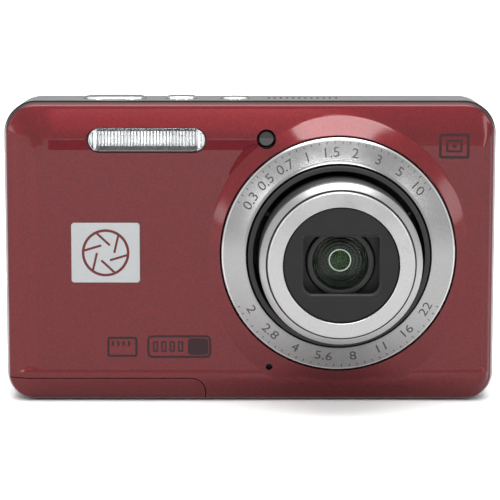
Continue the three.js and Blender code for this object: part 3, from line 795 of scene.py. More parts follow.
def collar():
    """The raised ring that the bezel sits in, which falls in a soft curve to the front."""
    sides = 256
    inner = BEZEL_RADIUS + 0.1
    top_y = BEZEL_RIM_Y + 0.12
    profile = [(0, 0), (0.03, 0.015), (0.06, 0.04), (0.1, 0.08), (0.2, 0.185), (0.4, 0.395), (0.6, 0.605)]
    profile += [(0.8, 0.815), (0.9, 0.915), (0.95, 0.96), (0.98, 0.985), (1.0, 1.0), (1.0, 2.4), (0, 2.4)]
    rings = []
    for share, fall in profile:
        ring = []
        for i in range(sides):
            degrees = 360 * i / sides
            across, up = math.cos(math.radians(degrees)), math.sin(math.radians(degrees))
            foot = collar_reach(degrees)
            foot_y = front_y(LENS.x + foot * across, LENS.z + foot * up) + 0.015
            radius = mixed(inner, foot, share)
            ring.append((LENS.x + radius * across, mixed(top_y, foot_y, fall), LENS.z + radius * up))
        rings.append(ring)
    return loft("collar", rings, RED)


def lens_bore():
    """The hole for the bezel, with its mouth eased."""
    r = BEZEL_RADIUS + 0.14
    mouth = [(0, -FAR), (r + 3, -FAR), (r + 0.3, BEZEL_RIM_Y - 0.2), (r, BEZEL_RIM_Y + 0.2)]
    return turned("bore", [*mouth, (r, FAR), (0, FAR)], RED, 256)


def window_cutter(node, gap, ease):
    """A hole round a flat window in the front, with its edge eased."""
    low, high = box_mm(node)
    half = (high.z - low.z) / 2

    def ring(grow, y):
        sides = (low.x - grow, high.x + grow, low.z - grow, high.z + grow)
        return at_depth(rounded_rectangle(*sides, half + grow - 0.001, 16), y)

    rings = [ring(gap + ease + 2, FLAT_Y - 2), ring(gap + ease, FLAT_Y - 0.02), ring(gap, FLAT_Y + ease)]
    return loft("window_hole", rings + [ring(gap, 0)], RED)


def brow_depth(x):
    """The brow rises at the left end of the flat part, and dies out to the right of the lens."""
    rise = smooth_step((x - BROW_LEFT) / 2.5)
    fall = smooth_step((x - LENS.x + 6) / 18)
    return BROW_DEPTH * (rise - fall)


def brow_surface(x, z):
    """The y of the brow: a steep facet up to its edge, then a slope back to the top."""
    t = max(z - BROW_TOP, 0) / (BROW_BACK - BROW_TOP)
    share = max(z - FLAT_TOP, BROW_TOP - FLAT_TOP) / (BAND_FOOT[3] - FLAT_TOP)
    slope = band_surface(share, max(z, BROW_TOP)) - brow_depth(x) * (1 - t) - 0.01
    return mixed(FLAT_Y + 0.005, slope, min((z - BROW_FOOT) / (BROW_TOP - BROW_FOOT), 1))


def brow():
    """The top band, which stands in front of the flat part and drops to it in a steep facet, painted dark
    red as painted shade.
    """
    steps = 90
    back = FLAT_Y + 1.4
    right = LENS.x + 12
    heights = [BROW_FOOT, *(mixed(BROW_TOP, BROW_BACK, k / 8) for k in range(9))]
    rings = []
    for i in range(steps + 1):
        x = mixed(BROW_LEFT, right, i / steps)
        face = [(x, brow_surface(x, z), z) for z in heights]
        rings.append([(x, back, BROW_FOOT), *face, (x, back, BROW_BACK)])
    made = loft("brow", rings, RED)

    def is_painted_shade_facet(face):
        low_enough = BROW_FOOT < face.center.z < BROW_TOP
        return face.normal.y < -0.5 and low_enough and BROW_LEFT + 1.5 < face.center.x < LENS.x

    # painted shade: the downward facet is painted dark red
    paint(made, PAINTED_SHADE_RED, is_painted_shade_facet)
    return made


def painted_shade_end():
    """The end of the facet's painted shade: a cut with walls painted dark red, which runs down beside the
    collar and narrows to a point.
    """
    outer, inner = [], []
    steps = 20
    for i in range(steps + 1):
        t = i / steps
        angle = math.radians(mixed(125, 144, t))
        width = 1.5 * min(t / 0.3, 1) * (1 - t) ** 0.8 + 0.05
        for points, radius in ((outer, COLLAR_FOOT - 0.1 + width), (inner, COLLAR_FOOT - 0.3)):
            points.append((LENS.x + radius * math.cos(angle), LENS.z + radius * math.sin(angle)))
    # painted shade: the tool's dark red stays on the walls that it cuts
    return prism("painted_shade_end", outer + inner[::-1], FLAT_Y - 2, FLAT_Y + 0.1, PAINTED_SHADE_RED)


def front_cover():
    """The red front with its brow and collar, and holes for the door, lens, flash, lamp and microphone."""
    cover = loft("front", front_rings(), RED)
    cut(cover, hollow())
    join(cover, brow(), collar())
    cut(cover, painted_shade_end(), lens_bore(), door_room(SEAM), window_cutter("flash_window", 0.12, 0.16))
    drill(cover, "focus_lamp_window", Y, -FAR, 0, 1.78, BAFFLE)
    drill(cover, "microphone", Y, -FAR, 0, 0.62, BAFFLE, 32)
    finish_piece(cover, "front_shell", "front_cover")


def battery_door():
    """A corner of the body's own form, hollow, with a hinge barrel that is notched for its hinges."""
    door = loft("door", front_rings()[:-1] + body_rings(), RED)
    keep_inside(door, door_room(0))
    hinge_y, hinge_z = DOOR_HIGH.y - 1, 1.0
    start, end = -SIDE_X + 5.3, DOOR_HIGH.x
    inside = block("inside", (DOOR_LOW.x + 1.4, FLAT_Y + 2, 1.5), (DOOR_HIGH.x - 0.85, FAR, FAR), RED)
    cut(door, inside, block("corner", (-FAR, hinge_y, -FAR), (FAR, FAR, hinge_z), RED))
    join(door, rod("hinge_barrel", 1.0, (start, hinge_y, hinge_z), (end, hinge_y, hinge_z), RED))
    cut(door, rod("bore", 0.5, (start + 0.2, hinge_y, hinge_z), (end - 3.3, hinge_y, hinge_z), RED, 24))
    for x in (-40, -16):
        cut(door, block("notch", (x - 0.3, hinge_y - 1.2, -FAR), (x + 2.3, FAR, 2), RED))
    finish_piece(door, "door_shell", "battery_door")


front_cover()
battery_door()

# ---------------------------------------------------------------- top cover and its buttons

TOP_BUTTONS = {"shutter_button": 0.75, "power_button": 0.6, "mode_button": 0.6}  # with their rims' widths
SPEAKER_SLOTS = 12
FLANGE = 0.7  # how far a key's foot reaches under the cover round it


def top_plate(name, node, grow, z0, z1, material, edge=0.0):
    """A round-ended plate seen from above, the size of a top button, from z0 down to z1."""
    low, high = box_mm(node)
    flange = FLANGE - grow
    half = (high.y - low.y) / 2 - flange
    rectangle = (low.x + flange, high.x - flange, low.y + flange, high.y - flange, half - 0.01)
    return turn_to_top(plate(name, rectangle, -z0, -z1, material, edge, 5, 24))


def top_region(gap):
    """The space that belongs to the top cover, grown by a gap."""
    return block("top_region", (-FAR, SEAM_Y - gap, TOP_LOW.z - gap), (FAR, TOP_HIGH.y + gap, FAR), GREY)


def top_cover():
    """The grey top, with holes for its keys and the speaker's slots, and its front step at the seam painted
    black as painted shade.
    """
    cover = loft("top", body_rings(), GREY)
    cut(cover, hollow())
    keep_inside(cover, top_region(0))
    for node in TOP_BUTTONS:
        cut(cover, top_plate("hole", node, 0.18, HEIGHT + 5, 50, GREY))
        cut(cover, top_plate("ease", node, 0.36, HEIGHT + 5, HEIGHT - 0.18, GREY))
    for i in range(SPEAKER_SLOTS):
        x = LENS.x - 13 + i * 1.15
        slot = plate("slot", (x, x + 0.5, -0.3, 1.9, 0.24), -HEIGHT - 1, -HEIGHT + 2.5, BAFFLE)
        cut(cover, turn_to_top(slot))
    # painted shade: the cover's front-facing step at the seam is painted black, standing in for the shadow
    # in the gap
    paint(cover, BAFFLE, lambda face: face.normal.y < -0.9 and face.center.y < SEAM_Y + 0.05)
    finish_piece(cover, "top_shell", "top_cover")


def top_button(node, rim_width):
    """A chrome key with a dished cap inside a raised rim."""
    low, high = box_mm(node)
    cap = top_plate("cap", node, 0, high.z, low.z, CHROME, 0.22)
    join(cap, top_plate("flange", node, 0.68, low.z + 0.6, low.z + 0.01, CHROME))
    cut(cap, top_plate("dish", node, -rim_width, high.z + 1, high.z - 0.16, CHROME))
    finish_piece(cap, node + "_cap", node)
    inlay = top_plate("inlay", node, -rim_width - 0.06, high.z - 0.02, high.z - 0.15, SILVER, 0.1)
    add_to(inlay, node + "_inlay", node)


top_cover()
for key, rim in TOP_BUTTONS.items():
    top_button(key, rim)

# ---------------------------------------------------------------- rear cover, display and keys

BACK_KEYS = ("record_button", "play_button", "menu_button", "delete_button")
SIDE_WALL_X = -43.5  # inside the left wall


def back_plate(name, rectangle, y_high, y_low, material, edge=0.0):
    return plate(name, rectangle, y_high, y_low, material, edge, 5)


def node_rectangle(node, grow, radius):
    low, high = box_mm(node)
    return (low.x - grow, high.x + grow, low.z - grow, high.z + grow, radius + grow)


def side_room(node, gap, depth_x, foot=None):
    """The room that a piece needs in the left side, from outside in to a depth."""
    low, high = box_mm(node)
    bottom = low.z - gap if foot is None else foot
    return block("side_room", (-FAR, low.y - gap, bottom), (depth_x, high.y + gap, high.z + gap), GREY)


def rear_cover():
    """The back and sides, with the openings for all that sits in them."""
    cover = loft("rear", body_rings(), GREY)
    cut(cover, hollow(), top_region(SEAM), door_room(SEAM))
    cut(cover, plate("display_pocket", node_rectangle("lcd_window", 0.12, 1.5), FAR, BACK_Y - 0.9, GREY))
    cut(cover, plate("display_hole", node_rectangle("lcd_panel", 0.2, 0.5), FAR, 5, GREY))
    dish = [(0, BACK_Y - 0.12), (3.0, BACK_Y - 0.12), (3.5, FAR), (0, FAR)]
    for node in BACK_KEYS:
        drill(cover, node, Y, 5, FAR, 2.78, GREY, 64)
        cut(cover, turned("key_dish", dish, GREY, 64, middle(node)))
    drill(cover, "direction_pad", Y, 5, FAR, 9.74, GREY, 128)
    cut(cover, plate("rocker_hole", node_rectangle("zoom_rocker", 0.25, 2.2), FAR, 5, GREY))
    cut(cover, side_room("port_cover", 0.2, -SIDE_X + 0.65, 7.4))
    cut(cover, side_room("usb_port", 0.15, SIDE_WALL_X), side_room("strap_lug", 0.12, SIDE_WALL_X))
    drill(cover, "tripod_socket", Z, -1, FAR, 5.1, GREY, 96)
    for node in ("bottom_screw_1", "bottom_screw_2"):
        drill(cover, node, Z, -1, 0.85, 1.52, GREY)
        drill(cover, node, Z, 0, 5, 0.8, GREY, 32)
    drill(cover, "side_screw", X, SIDE_X - 0.85, FAR, 1.52, GREY)
    drill(cover, "side_screw", X, SIDE_X - 4, SIDE_X, 0.8, GREY, 32)
    finish_piece(cover, "rear_shell", "rear_cover")


def thumb_rest():
    """Two rows of small raised dots under the rocker, for the thumb."""
    dots = []
    pitch = 1.6
    rocker = middle("zoom_rocker")
    dome = [(0, 0.22), (0.22, 0.19), (0.38, 0.1), (0.44, -0.1), (0, -0.1)]
    outline = [(radius, BACK_Y + lift) for radius, lift in dome]
    for row in range(2):
        for column in range(9):
            centre = Vector((rocker.x - 6.4 + column * pitch, 0, rocker.z - 5.0 - row * pitch))
            dots.append(turned("dot", outline, GREY, 24, centre))
    add_to(gathered("dots", dots), "thumb_rest_dots", "rear_cover")


def display():
    """The display's glass, and the screen area that shows in it."""
    outline = node_rectangle("lcd_window", 0, 1.5)
    window = back_plate("window", outline, BACK_Y, BACK_Y - 0.85, DISPLAY_GLASS, 0.15)
    finish_piece(window, "display_window", "lcd_window")
    area = node_rectangle("lcd_panel", -1.2, 1.5)
    screen = back_plate("screen", area, BACK_Y + 0.012, BACK_Y - 0.05, SCREEN)
    add_to(screen, "display_area", "lcd_window")


def stroke(shape, x, z, y0, y1, material):
    """A flat stroke (left, right, bottom, top, radius, line) round a place.

    It is solid, or where line is set an outline that wide.
    """
    left, right, bottom, top, radius, line = shape
    made = plate("stroke", (x + left, x + right, z + bottom, z + top, radius), y0, y1, material, steps=8)
    if line:
        sides = (x + left + line, x + right - line, z + bottom + line, z + top - line)
        beyond = 1 if y1 > y0 else -1
        inner = (*sides, max(radius - line, 0.02))
        cut(made, plate("inner", inner, y0 - beyond, y1 + beyond, material, steps=8))
    return made


def key_icon(name, strokes, node):
    """A printed icon of flat strokes on a key."""
    at = middle(node)
    y = box_mm(node)[1].y - 0.03
    parts = [stroke(shape, at.x, at.z, y, y - 0.06, PALE_INK) for shape in strokes]
    add_to(gathered(name, parts), name, node)


def back_key(node):
    """A round key with a raised rim and a foot under the cover."""
    low, high = box_mm(node)
    foot = low.y
    radius = (high.x - low.x) / 2 - 0.5
    top = [(0, high.y - 0.08), (radius * 0.7, high.y - 0.03), (radius - 0.25, high.y)]
    rim = [(radius - 0.08, high.y - 0.06), (radius, high.y - 0.22), (radius, foot + 0.5)]
    flange = [(radius + 0.48, foot + 0.5), (radius + 0.48, foot), (0, foot)]
    finish_piece(turned("key", top + rim + flange, KEY_GREY, 64, middle(node)), node + "_cap", node)


def direction_pad():
    """A dished ring with four printed arrows."""
    low, high = box_mm("direction_pad")
    at = middle("direction_pad")
    foot, top = low.y, high.y
    outline = [(4.0, foot), (10.05, foot), (10.05, foot + 0.3), (9.5, foot + 0.3), (9.5, top - 0.35)]
    outline += [(9.38, top - 0.1), (9.1, top), (8.4, top - 0.02), (6.6, top - 0.22), (5.0, top - 0.3)]
    outline += [(4.25, top - 0.22), (4.0, top - 0.4)]
    finish_piece(turned("pad", outline, KEY_GREY, 128, at), "direction_pad_ring", "direction_pad")
    arrows = []
    for i in range(4):
        across, up = math.cos(i * math.pi / 2), math.sin(i * math.pi / 2)
        tip = [(8.3, 0.0), (7.3, 0.75), (7.3, -0.75)]
        arrow = [(at.x + r * across - side * up, at.z + r * up + side * across) for r, side in tip]
        arrows.append(prism("arrow", arrow, top, top - 0.4, PALE_INK))
    add_to(gathered("arrows", arrows), "direction_pad_arrows", "direction_pad")


def ok_button():
    """The round key in the middle of the direction pad, on its stem."""
    low, high = box_mm("ok_button")
    foot, top = low.y, high.y
    cap = [(0, top - 0.12), (2.4, top - 0.06), (3.2, top), (3.5, top - 0.08), (3.6, top - 0.3)]
    stem = [(3.6, foot + 0.35), (1.2, foot + 0.35), (1.2, foot), (0, foot)]
    finish_piece(turned("ok", cap + stem, KEY_GREY, 96, middle("ok_button")), "ok_button_cap", "ok_button")


def zoom_rocker():
    """A rocker with a dished face and four grooves at each end."""
    low, high = box_mm("zoom_rocker")
    at = middle("zoom_rocker")
    outline = node_rectangle("zoom_rocker", 0, 2.2)
    rocker = back_plate("rocker", outline, high.y, low.y, KEY_GREY, 0.45)
    dish_y = high.y + 13.62
    cut(rocker, rod("dish", 14, (at.x, dish_y, low.z - 1), (at.x, dish_y, high.z + 1), KEY_GREY, 192))
    for side in (-1, 1):
        for i in range(4):
            x = at.x + side * (4.0 + 0.7 * i)
            corners = (x - 0.14, high.y - 0.42, low.z + 1.5), (x + 0.14, FAR, high.z - 1.5)
            cut(rocker, block("groove", *corners, KEY_GREY))
    finish_piece(rocker, "zoom_rocker_key", "zoom_rocker")


def key_icons():
    """Plain pictograms on the keys."""
    record = middle("record_button")
    y = box_mm("record_button")[1].y
    dot = rod("dot", 0.8, (record.x, y - 0.02, record.z), (record.x, y - 0.12, record.z), RED, 32)
    add_to(dot, "record_dot", "record_button")
    play = middle("play_button")
    arrow = [(play.x + 0.7, play.z - 0.8), (play.x + 0.7, play.z + 0.8), (play.x - 0.8, play.z)]
    add_to(prism("arrow", arrow, y - 0.03, y - 0.12, PALE_INK), "play_arrow", "play_button")
    bars = [(-0.9, 0.9, z - 0.11, z + 0.11, 0.1, 0) for z in (-0.6, 0, 0.6)]
    key_icon("menu_bars", bars, "menu_button")
    bin_body = (-0.7, 0.7, -0.9, 0.45, 0.15, 0.18)
    bin_lid = [(-0.95, 0.95, 0.6, 0.8, 0.08, 0), (-0.3, 0.3, 0.8, 1.0, 0.08, 0)]
    key_icon("delete_bin", [bin_body, *bin_lid], "delete_button")


rear_cover()
thumb_rest()
display()
for key in BACK_KEYS:
    back_key(key)
direction_pad()
ok_button()
zoom_rocker()
key_icons()

# ---------------------------------------------------------------- lens

CREST_Y = BEZEL_LOW.y
BORE = 16.85
OUTER_LOW, OUTER_HIGH = box_mm("outer_barrel")
INNER_LOW, INNER_HIGH = box_mm("inner_barrel")
CAP_LOW, CAP_HIGH = box_mm("front_cap")
PLATE_LOW, PLATE_HIGH = box_mm("face_plate")
OUTER_RADIUS = 16.65
INNER_RADIUS = 14.7


def cone_point(radius):
    """The y of the bezel's face at a radius: a straight cone, slightly crowned."""
    t = (radius - BORE) / (BEZEL_RADIUS - BORE)
    crown = 0.07 * math.sin(math.pi * min(max(t, 0), 1))
    return mixed(CREST_Y + 0.1, BEZEL_RIM_Y, t) - crown


def on_bezel(tool, radius, degrees, upright=True):
    """Stands a tool drawn in x (along), y (out) and z (off the surface) on the bezel's face."""
    angle = math.radians(degrees)
    out = Vector((math.cos(angle), 0, math.sin(angle)))
    step = 0.2
    slope = Vector((0, cone_point(radius + step) - cone_point(radius - step), 0)) + out * 2 * step
    up = slope.normalized() if upright else -slope.normalized()
    forward = Vector((0, -1, 0))
    normal = (forward - up * forward.dot(up)).normalized()
    at = Vector((LENS.x, cone_point(radius), LENS.z)) + out * radius
    turn = Matrix((up.cross(normal), up, normal)).transposed().to_4x4()
    tool.data.transform(Matrix.Translation(at) @ turn)
    return tool


def numeral(text):
    """Solid numerals, centred, standing as far out of z = 0 as they are sunk in it."""
    data = bpy.data.curves.new("numeral", "FONT")
    data.body = text
    data.size = NUMERAL_SIZE
    data.align_x = "CENTER"
    data.align_y = "CENTER"
    data.extrude = ENGRAVING
    data.resolution_u = 4
    made = bpy.data.objects.new("numeral", data)
    bpy.context.scene.collection.objects.link(made)
    graph = bpy.context.evaluated_depsgraph_get()
    mesh = bpy.data.meshes.new_from_object(made.evaluated_get(graph))
    bpy.data.objects.remove(made)
    made = bpy.data.objects.new("numeral", mesh)
    bpy.context.scene.collection.objects.link(made)
    mesh.materials.clear()
    mesh.materials.append(ENGRAVED)
    weld = made.modifiers.new("weld", "WELD")
    weld.merge_threshold = 0.002
    bake_modifiers(made)
    return made


SCALE_RADIUS = 18.95
TICK_RADIUS = 20.7
NUMERAL_SIZE = 2.8
ENGRAVING = 0.07  # how deep the scales are cut
DISTANCES = ("0.3", "0.5", "0.7", "1", "1.5", "2", "3", "5", "10")
STOPS = ("2", "2.8", "4", "5.6", "8", "11", "16", "22")


def scale_tools():
    """A distance scale over the top of the bezel and an aperture scale under it, as on any lens."""
    tools = []
    for texts, first, step in ((DISTANCES, 148, -13.4), (STOPS, 212, 16.6)):
        for i, text in enumerate(texts):
            tools.append(on_bezel(numeral(text), SCALE_RADIUS, first + i * step, texts is DISTANCES))
    for first, last in ((36, 152), (208, 334)):
        for degrees in range(first, last + 1, 4):
            tick = block("tick", (-0.07, -0.25, -ENGRAVING), (0.07, 0.25, ENGRAVING), ENGRAVED)
            tools.append(on_bezel(tick, TICK_RADIUS, degrees))
    return tools


def lens_bezel():
    """The silver cone ring: a rounded crest at the bore, the engraved face, and a polished rim."""
    steps = 14
    cone = [mixed(BORE + 0.45, BEZEL_RADIUS - 0.5, i / steps) for i in range(steps + 1)]
    crest = [(0, 0.45), (0.05, 0.22), (0.2, 0.08)]
    rim = [(0.3, -0.12), (0.12, 0.08), (0.03, 0.26), (0, 0.5)]
    outline = [(BORE, BEZEL_HIGH.y)]
    outline += [(BORE + out, CREST_Y + back) for out, back in crest]
    outline += [(radius, cone_point(radius)) for radius in cone]
    outline += [(BEZEL_RADIUS - inset, BEZEL_RIM_Y + back) for inset, back in rim]
    outline.append((BEZEL_RADIUS, BEZEL_HIGH.y))
    bezel = turned("bezel", outline, BEZEL_SILVER, 256)
    paint(bezel, RIM_SILVER, lambda face: lens_radius(face) > BEZEL_RADIUS - 0.5)
    cut(bezel, gathered("engraving", scale_tools()), solver="EXACT")
    finish_piece(bezel, "bezel_ring", "lens_bezel")


def with_pins(made, radius, pin_reach, y):
    """Adds the three pins at a barrel's foot, which run in the slots of the ring round it."""
    for i in range(3):
        angle = math.radians(30 + 120 * i)
        out = Vector((math.cos(angle), 0, math.sin(angle)))
        at = Vector((LENS.x, y, LENS.z))
        join(made, rod("pin", 0.55, at + out * (radius - 0.5), at + out * pin_reach, BAFFLE, 24))
    return made


def outer_barrel():
    """The outer tube, with a softened lip."""
    front, back = OUTER_LOW.y, OUTER_HIGH.y
    lip = [(0.97, 0.12), (0.93, 0.03), (0.85, 0), (0.16, 0.02), (0.04, 0.1), (0, 0.26)]
    outline = [(OUTER_RADIUS - 0.97, back)]
    outline += [(OUTER_RADIUS - inset, front + fall) for inset, fall in lip]
    outline.append((OUTER_RADIUS, back))
    barrel = turned("outer", outline, CHARCOAL)
    with_pins(barrel, OUTER_RADIUS, 16.85, back - 1.2)
    finish_piece(barrel, "outer_barrel_tube", "outer_barrel")


def inner_barrel():
    """The inner tube, with three fine grooves round it."""
    front, back = INNER_LOW.y, INNER_HIGH.y
    profile = [(1, 0), (0.2, 0), (0.06, 0.05), (0.02, 0.2), (0, 0.4)]
    for i in range(3):
        y = 2.2 + i * 0.9
        profile += [(0, y), (0.07, y + 0.06), (0.07, y + 0.3), (0, y + 0.36)]
    outline = [(INNER_RADIUS - 1, back)]
    outline += [(INNER_RADIUS - inset, front + fall) for inset, fall in profile]
    outline.append((INNER_RADIUS, back))
    barrel = turned("inner", outline, CHARCOAL)
    with_pins(barrel, INNER_RADIUS, 15.35, back - 1.2)
    finish_piece(barrel, "inner_barrel_tube", "inner_barrel")


def front_cap():
    """The silver cap: a side wall, a shoulder, a fine dark groove, then the wide flat face ring."""
    front, back = CAP_LOW.y, CAP_HIGH.y
    shoulder = [(14.65, 2.6), (14.58, 2.25), (14.35, 1.95), (13.75, 1.35), (13.6, 1.2), (13.5, 1.13)]
    groove_walls = [(13.44, 1.15), (13.42, 1.5), (13.18, 1.5), (13.16, 0.56)]
    ring = [(13.1, 0.46), (13.0, 0.4), (12.86, 0.36), (10.75, 0.02), (10.55, 0.0), (10.45, 0.05)]
    inside = [(10.42, 0.15), (10.42, 0.7), (12.6, 1.0), (12.9, 2.0), (13.3, 2.2)]
    profile = shoulder + groove_walls + ring + inside
    outline = [(13.3, back), (14.65, back)] + [(radius, front + fall) for radius, fall in profile]
    cap = turned("cap", outline, SILVER, 224)

    def in_groove(face):
        return 13.17 < lens_radius(face) < 13.45 and front + 0.6 < face.center.y < front + 2

    paint(cap, BAFFLE, in_groove)
    finish_piece(cap, "front_cap_ring", "front_cap")


def opening_tool(y0, y1, grow, rise=0.0):
    """The face opening: square at the top, with rounded lower corners."""
    rings = []
    for y, extra in ((y0, rise), (y1, 0)):
        x, z = 6.8 + grow + extra, 5.15 + grow + extra
        sides = (LENS.x - x, LENS.x + x, LENS.z - z, LENS.z + z)
        rings.append(at_depth(rounded_rectangle(*sides, 0.5, 12, 1.9), y))
    return loft("opening", rings, BAFFLE)


def face_plate():
    """The black disc in the cap, with the opening that the barrier closes."""
    y0, y1 = PLATE_LOW.y, PLATE_HIGH.y
    outline = [(0, y0), (9.9, y0), (10.2, y0 + 0.06), (10.3, y0 + 0.2), (10.3, y1), (0, y1)]
    face = turned("face", outline, BLACK)
    cut(face, opening_tool(y0 - 1, y1 + 1, 0))
    cut(face, opening_tool(y0 - 0.001, y0 + 0.25, 0.05, 0.3))
    finish_piece(face, "face_disc", "face_plate")


def barrier_blade(node, side):
    """Half of the lens barrier: a round blade cut off straight, with a groove along its edge."""
    low, high = box_mm(node)
    blade = turned("blade", [(0, low.y), (12.7, low.y), (12.7, high.y), (0, high.y)], BAFFLE, 160)
    bottom, top = (low.z, FAR) if side > 0 else (-FAR, high.z)
    keep_inside(blade, block("keep", (low.x, -FAR, bottom), (high.x, FAR, top)))
    lip_z = low.z + 0.25 if side > 0 else high.z - 0.75
    lip = (low.x + 0.3, high.x - 0.3, lip_z, lip_z + 0.5, 0.2)
    cut(blade, plate("lip", lip, low.y - 1, low.y + 0.12, BAFFLE, steps=6))
    finish_piece(blade, node + "_blade", node)


def lens_cell():
    """The black cell round the front lens: a retaining ring, then steps that go down into the lens."""
    low, high = box_mm("shutter_unit")
    ring = [(4.95, low.y + 0.45), (5.1, low.y), (6.0, low.y), (6.25, low.y + 1.2)]
    drum = [(13.2, low.y + 1.2), (13.2, high.y), (3.2, high.y), (3.2, high.y - 2.2), (4.95, high.y - 2.2)]
    cell = turned("cell", softened(ring + drum, 0.18, 3), BAFFLE)
    paint(cell, CHARCOAL, lambda face: 4.9 < lens_radius(face) < 6.3 and face.center.y < low.y + 1)
    finish_piece(cell, "lens_cell", "shutter_unit")


def inner_ring(name, radius, width, y, material):
    """A ring 0.3 mm deep inside the lens, with its corners softened."""
    inner, back = radius - width, y + 0.3
    outline = softened([(inner, back), (inner, y), (radius, y), (radius, back)], 0.06, 2)
    add_to(turned("ring", outline, material, 128), name, "shutter_unit")


def lens_depths():
    """What shows behind the front lens: dark steps, a bright edge, and a pupil painted green as painted
    reflection.
    """
    floor = box_mm("front_lens")[1].y - 0.1
    for i, (radius, width) in enumerate(((4.75, 0.5), (4.1, 0.4), (3.4, 0.35), (2.8, 0.3))):
        inner_ring(f"baffle_step_{i + 1}", radius, width, floor - 0.9 + i * 0.22, LENS_BLACK)
    disc = [(0, floor + 0.3), (4.8, floor + 0.3), (4.8, floor + 0.5), (0, floor + 0.5)]
    add_to(turned("floor", disc, LENS_BLACK, 96), "baffle_floor", "shutter_unit")
    inner_ring("pupil_edge", 2.02, 0.2, floor - 0.12, STEEL)
    profile = [(0, -0.25), (0.9, -0.16), (1.5, -0.02), (1.8, 0.15), (1.8, 0.4), (0, 0.4)]
    dome = [(radius, floor + fall) for radius, fall in profile]
    # painted reflection: the pupil's green and its mottle stand in for the coatings' reflection
    add_to(turned("pupil", dome, GREEN_PAINTED_REFLECTION, 64), "green_pupil", "shutter_unit")


def front_lens():
    """A thin front glass, domed outside and hollow behind, so that the cell shows through it."""
    front = box_mm("front_lens")[0].y
    radius, inner_radius = 4.78, 4.48
    rise, thickness = 0.9, 0.7
    steps = 12
    shares = [i / steps for i in range(steps + 1)]
    outer = [(radius * t, front + rise * t**2) for t in shares]
    inner = [(inner_radius * t, front + thickness + 0.7 * t**2) for t in reversed(shares)]
    foot = front + rise + thickness
    outline = outer + [(radius, foot), (inner_radius + 0.1, foot)] + inner
    finish_piece(turned("glass", outline, FRONT_GLASS, 128), "front_lens_glass", "front_lens")


lens_bezel()
outer_barrel()
inner_barrel()
front_cap()
face_plate()
barrier_blade("barrier_upper", 1)
barrier_blade("barrier_lower", -1)
lens_cell()
lens_depths()
front_lens()

# ---------------------------------------------------------------- flash, lamp, badge, marks

ENGRAVED_Y = 0.16  # how deep the badge is engraved


def flash_glass():
    """A clear window that is ribbed on the inside."""
    low, high = box_mm("flash_window")
    half = (high.z - low.z) / 2
    rectangle = (low.x, high.x, low.z, high.z, half - 0.01)
    window = plate("window", rectangle, low.y + 0.02, high.y, CLEAR, 0.25, 5, 16)
    pitch, half_rib = 0.6, 0.15
    count = round((high.x - low.x - 1) / pitch)
    start = (low.x + high.x - count * pitch) / 2
    outside = high.y + 0.02
    comb = [(start, high.y + 1), (start, outside)]
    for i in range(count):
        x = start + (i + 0.5) * pitch
        comb += [(x - half_rib, outside), (x, high.y - half_rib), (x + half_rib, outside)]
    comb += [(start + count * pitch, outside), (start + count * pitch, high.y + 1)]
    cut(window, loft("comb", [[(x, y, z) for x, y in comb] for z in (low.z + 0.35, high.z - 0.35)], CLEAR))
    finish_piece(window, "flash_glass", "flash_window")


def flash_bowl():
    """The bright trough behind the window, with a dark strip along its top and its bottom."""
    low, high = box_mm("flash_reflector")
    half = (high.z - low.z) / 2
    rectangle = (low.x, high.x, low.z, high.z, half - 0.01)
    bowl = plate("bowl", rectangle, low.y, high.y, REFLECTOR, steps=16)
    wall, floor, depth = 0.35, 0.8, 3.822
    steps = 14
    trough = []
    for i in range(steps + 1):
        t = -1 + 2 * i / steps
        trough.append((low.z + half + t * (half - wall), high.y - floor - depth * t**2))
    profile = trough + [(high.z - wall, low.y - 1), (low.z + wall, low.y - 1)]
    sides = [[(x, y, z) for z, y in profile] for x in (low.x + 1.1, high.x - 1.1)]
    cut(bowl, loft("trough", sides, REFLECTOR))
    finish_piece(bowl, "flash_bowl", "flash_reflector")
    strips = []
    for foot, height in ((low.z + 0.05, 0.75), (high.z - 0.35, 0.3)):
        corners = (low.x + 1.4, low.y - 0.25, foot), (high.x - 1.4, low.y - 0.05, foot + height)
        strips.append(block("strip", *corners, BAFFLE))
    add_to(gathered("strips", strips), "flash_frame", "flash_reflector")


def focus_lamp():
    """A dark domed window."""
    low, high = box_mm("focus_lamp_window")
    dome = [(0, 0.02), (0.8, 0.06), (1.3, 0.2), (1.6, 0.5)]
    outline = [(radius, low.y + fall) for radius, fall in dome] + [(1.6, high.y), (0, high.y)]
    lamp = turned("lamp", outline, LAMP_GLASS, 64, middle("focus_lamp_window"))
    finish_piece(lamp, "focus_lamp_lens", "focus_lamp_window")


def badge():
    """A plain silver plate with a ring of six blades engraved in it, a common sign for a lens."""
    rectangle = (BADGE_LOW.x, BADGE_HIGH.x, BADGE_LOW.z, BADGE_HIGH.z, 0.6)
    y = BADGE_LOW.y
    made = plate("badge", rectangle, y, BADGE_HIGH.y, BADGE_SILVER, 0.12, 4)
    at = middle("front_badge")
    centre = Vector((at.x, 0, at.z))
    ring = [(3.9, y - 0.5), (4.4, y - 0.5), (4.4, y + ENGRAVED_Y), (3.9, y + ENGRAVED_Y)]
    cut(made, turned("ring", ring, RED, 96, centre))
    for i in range(6):
        angle = math.radians(60 * i)
        start = centre + Vector((math.cos(angle), 0, math.sin(angle))) * 1.6
        end = centre + Vector((math.cos(angle + 0.95), 0, math.sin(angle + 0.95))) * 4.1
        cut(made, groove(start, end, 0.42, y))
    finish_piece(made, "badge_plate", "front_badge")


def groove(start, end, width, y):
    """A straight cutting tool from start to end, sunk a little into the face at y."""
    along = (end - start).normalized()
    side = Vector((-along.z, 0, along.x)) * width / 2
    outline = [(p.x, p.z) for p in (start + side, start - side, end - side, end + side)]
    return prism("groove", outline, y - 0.5, y + ENGRAVED_Y, RED)


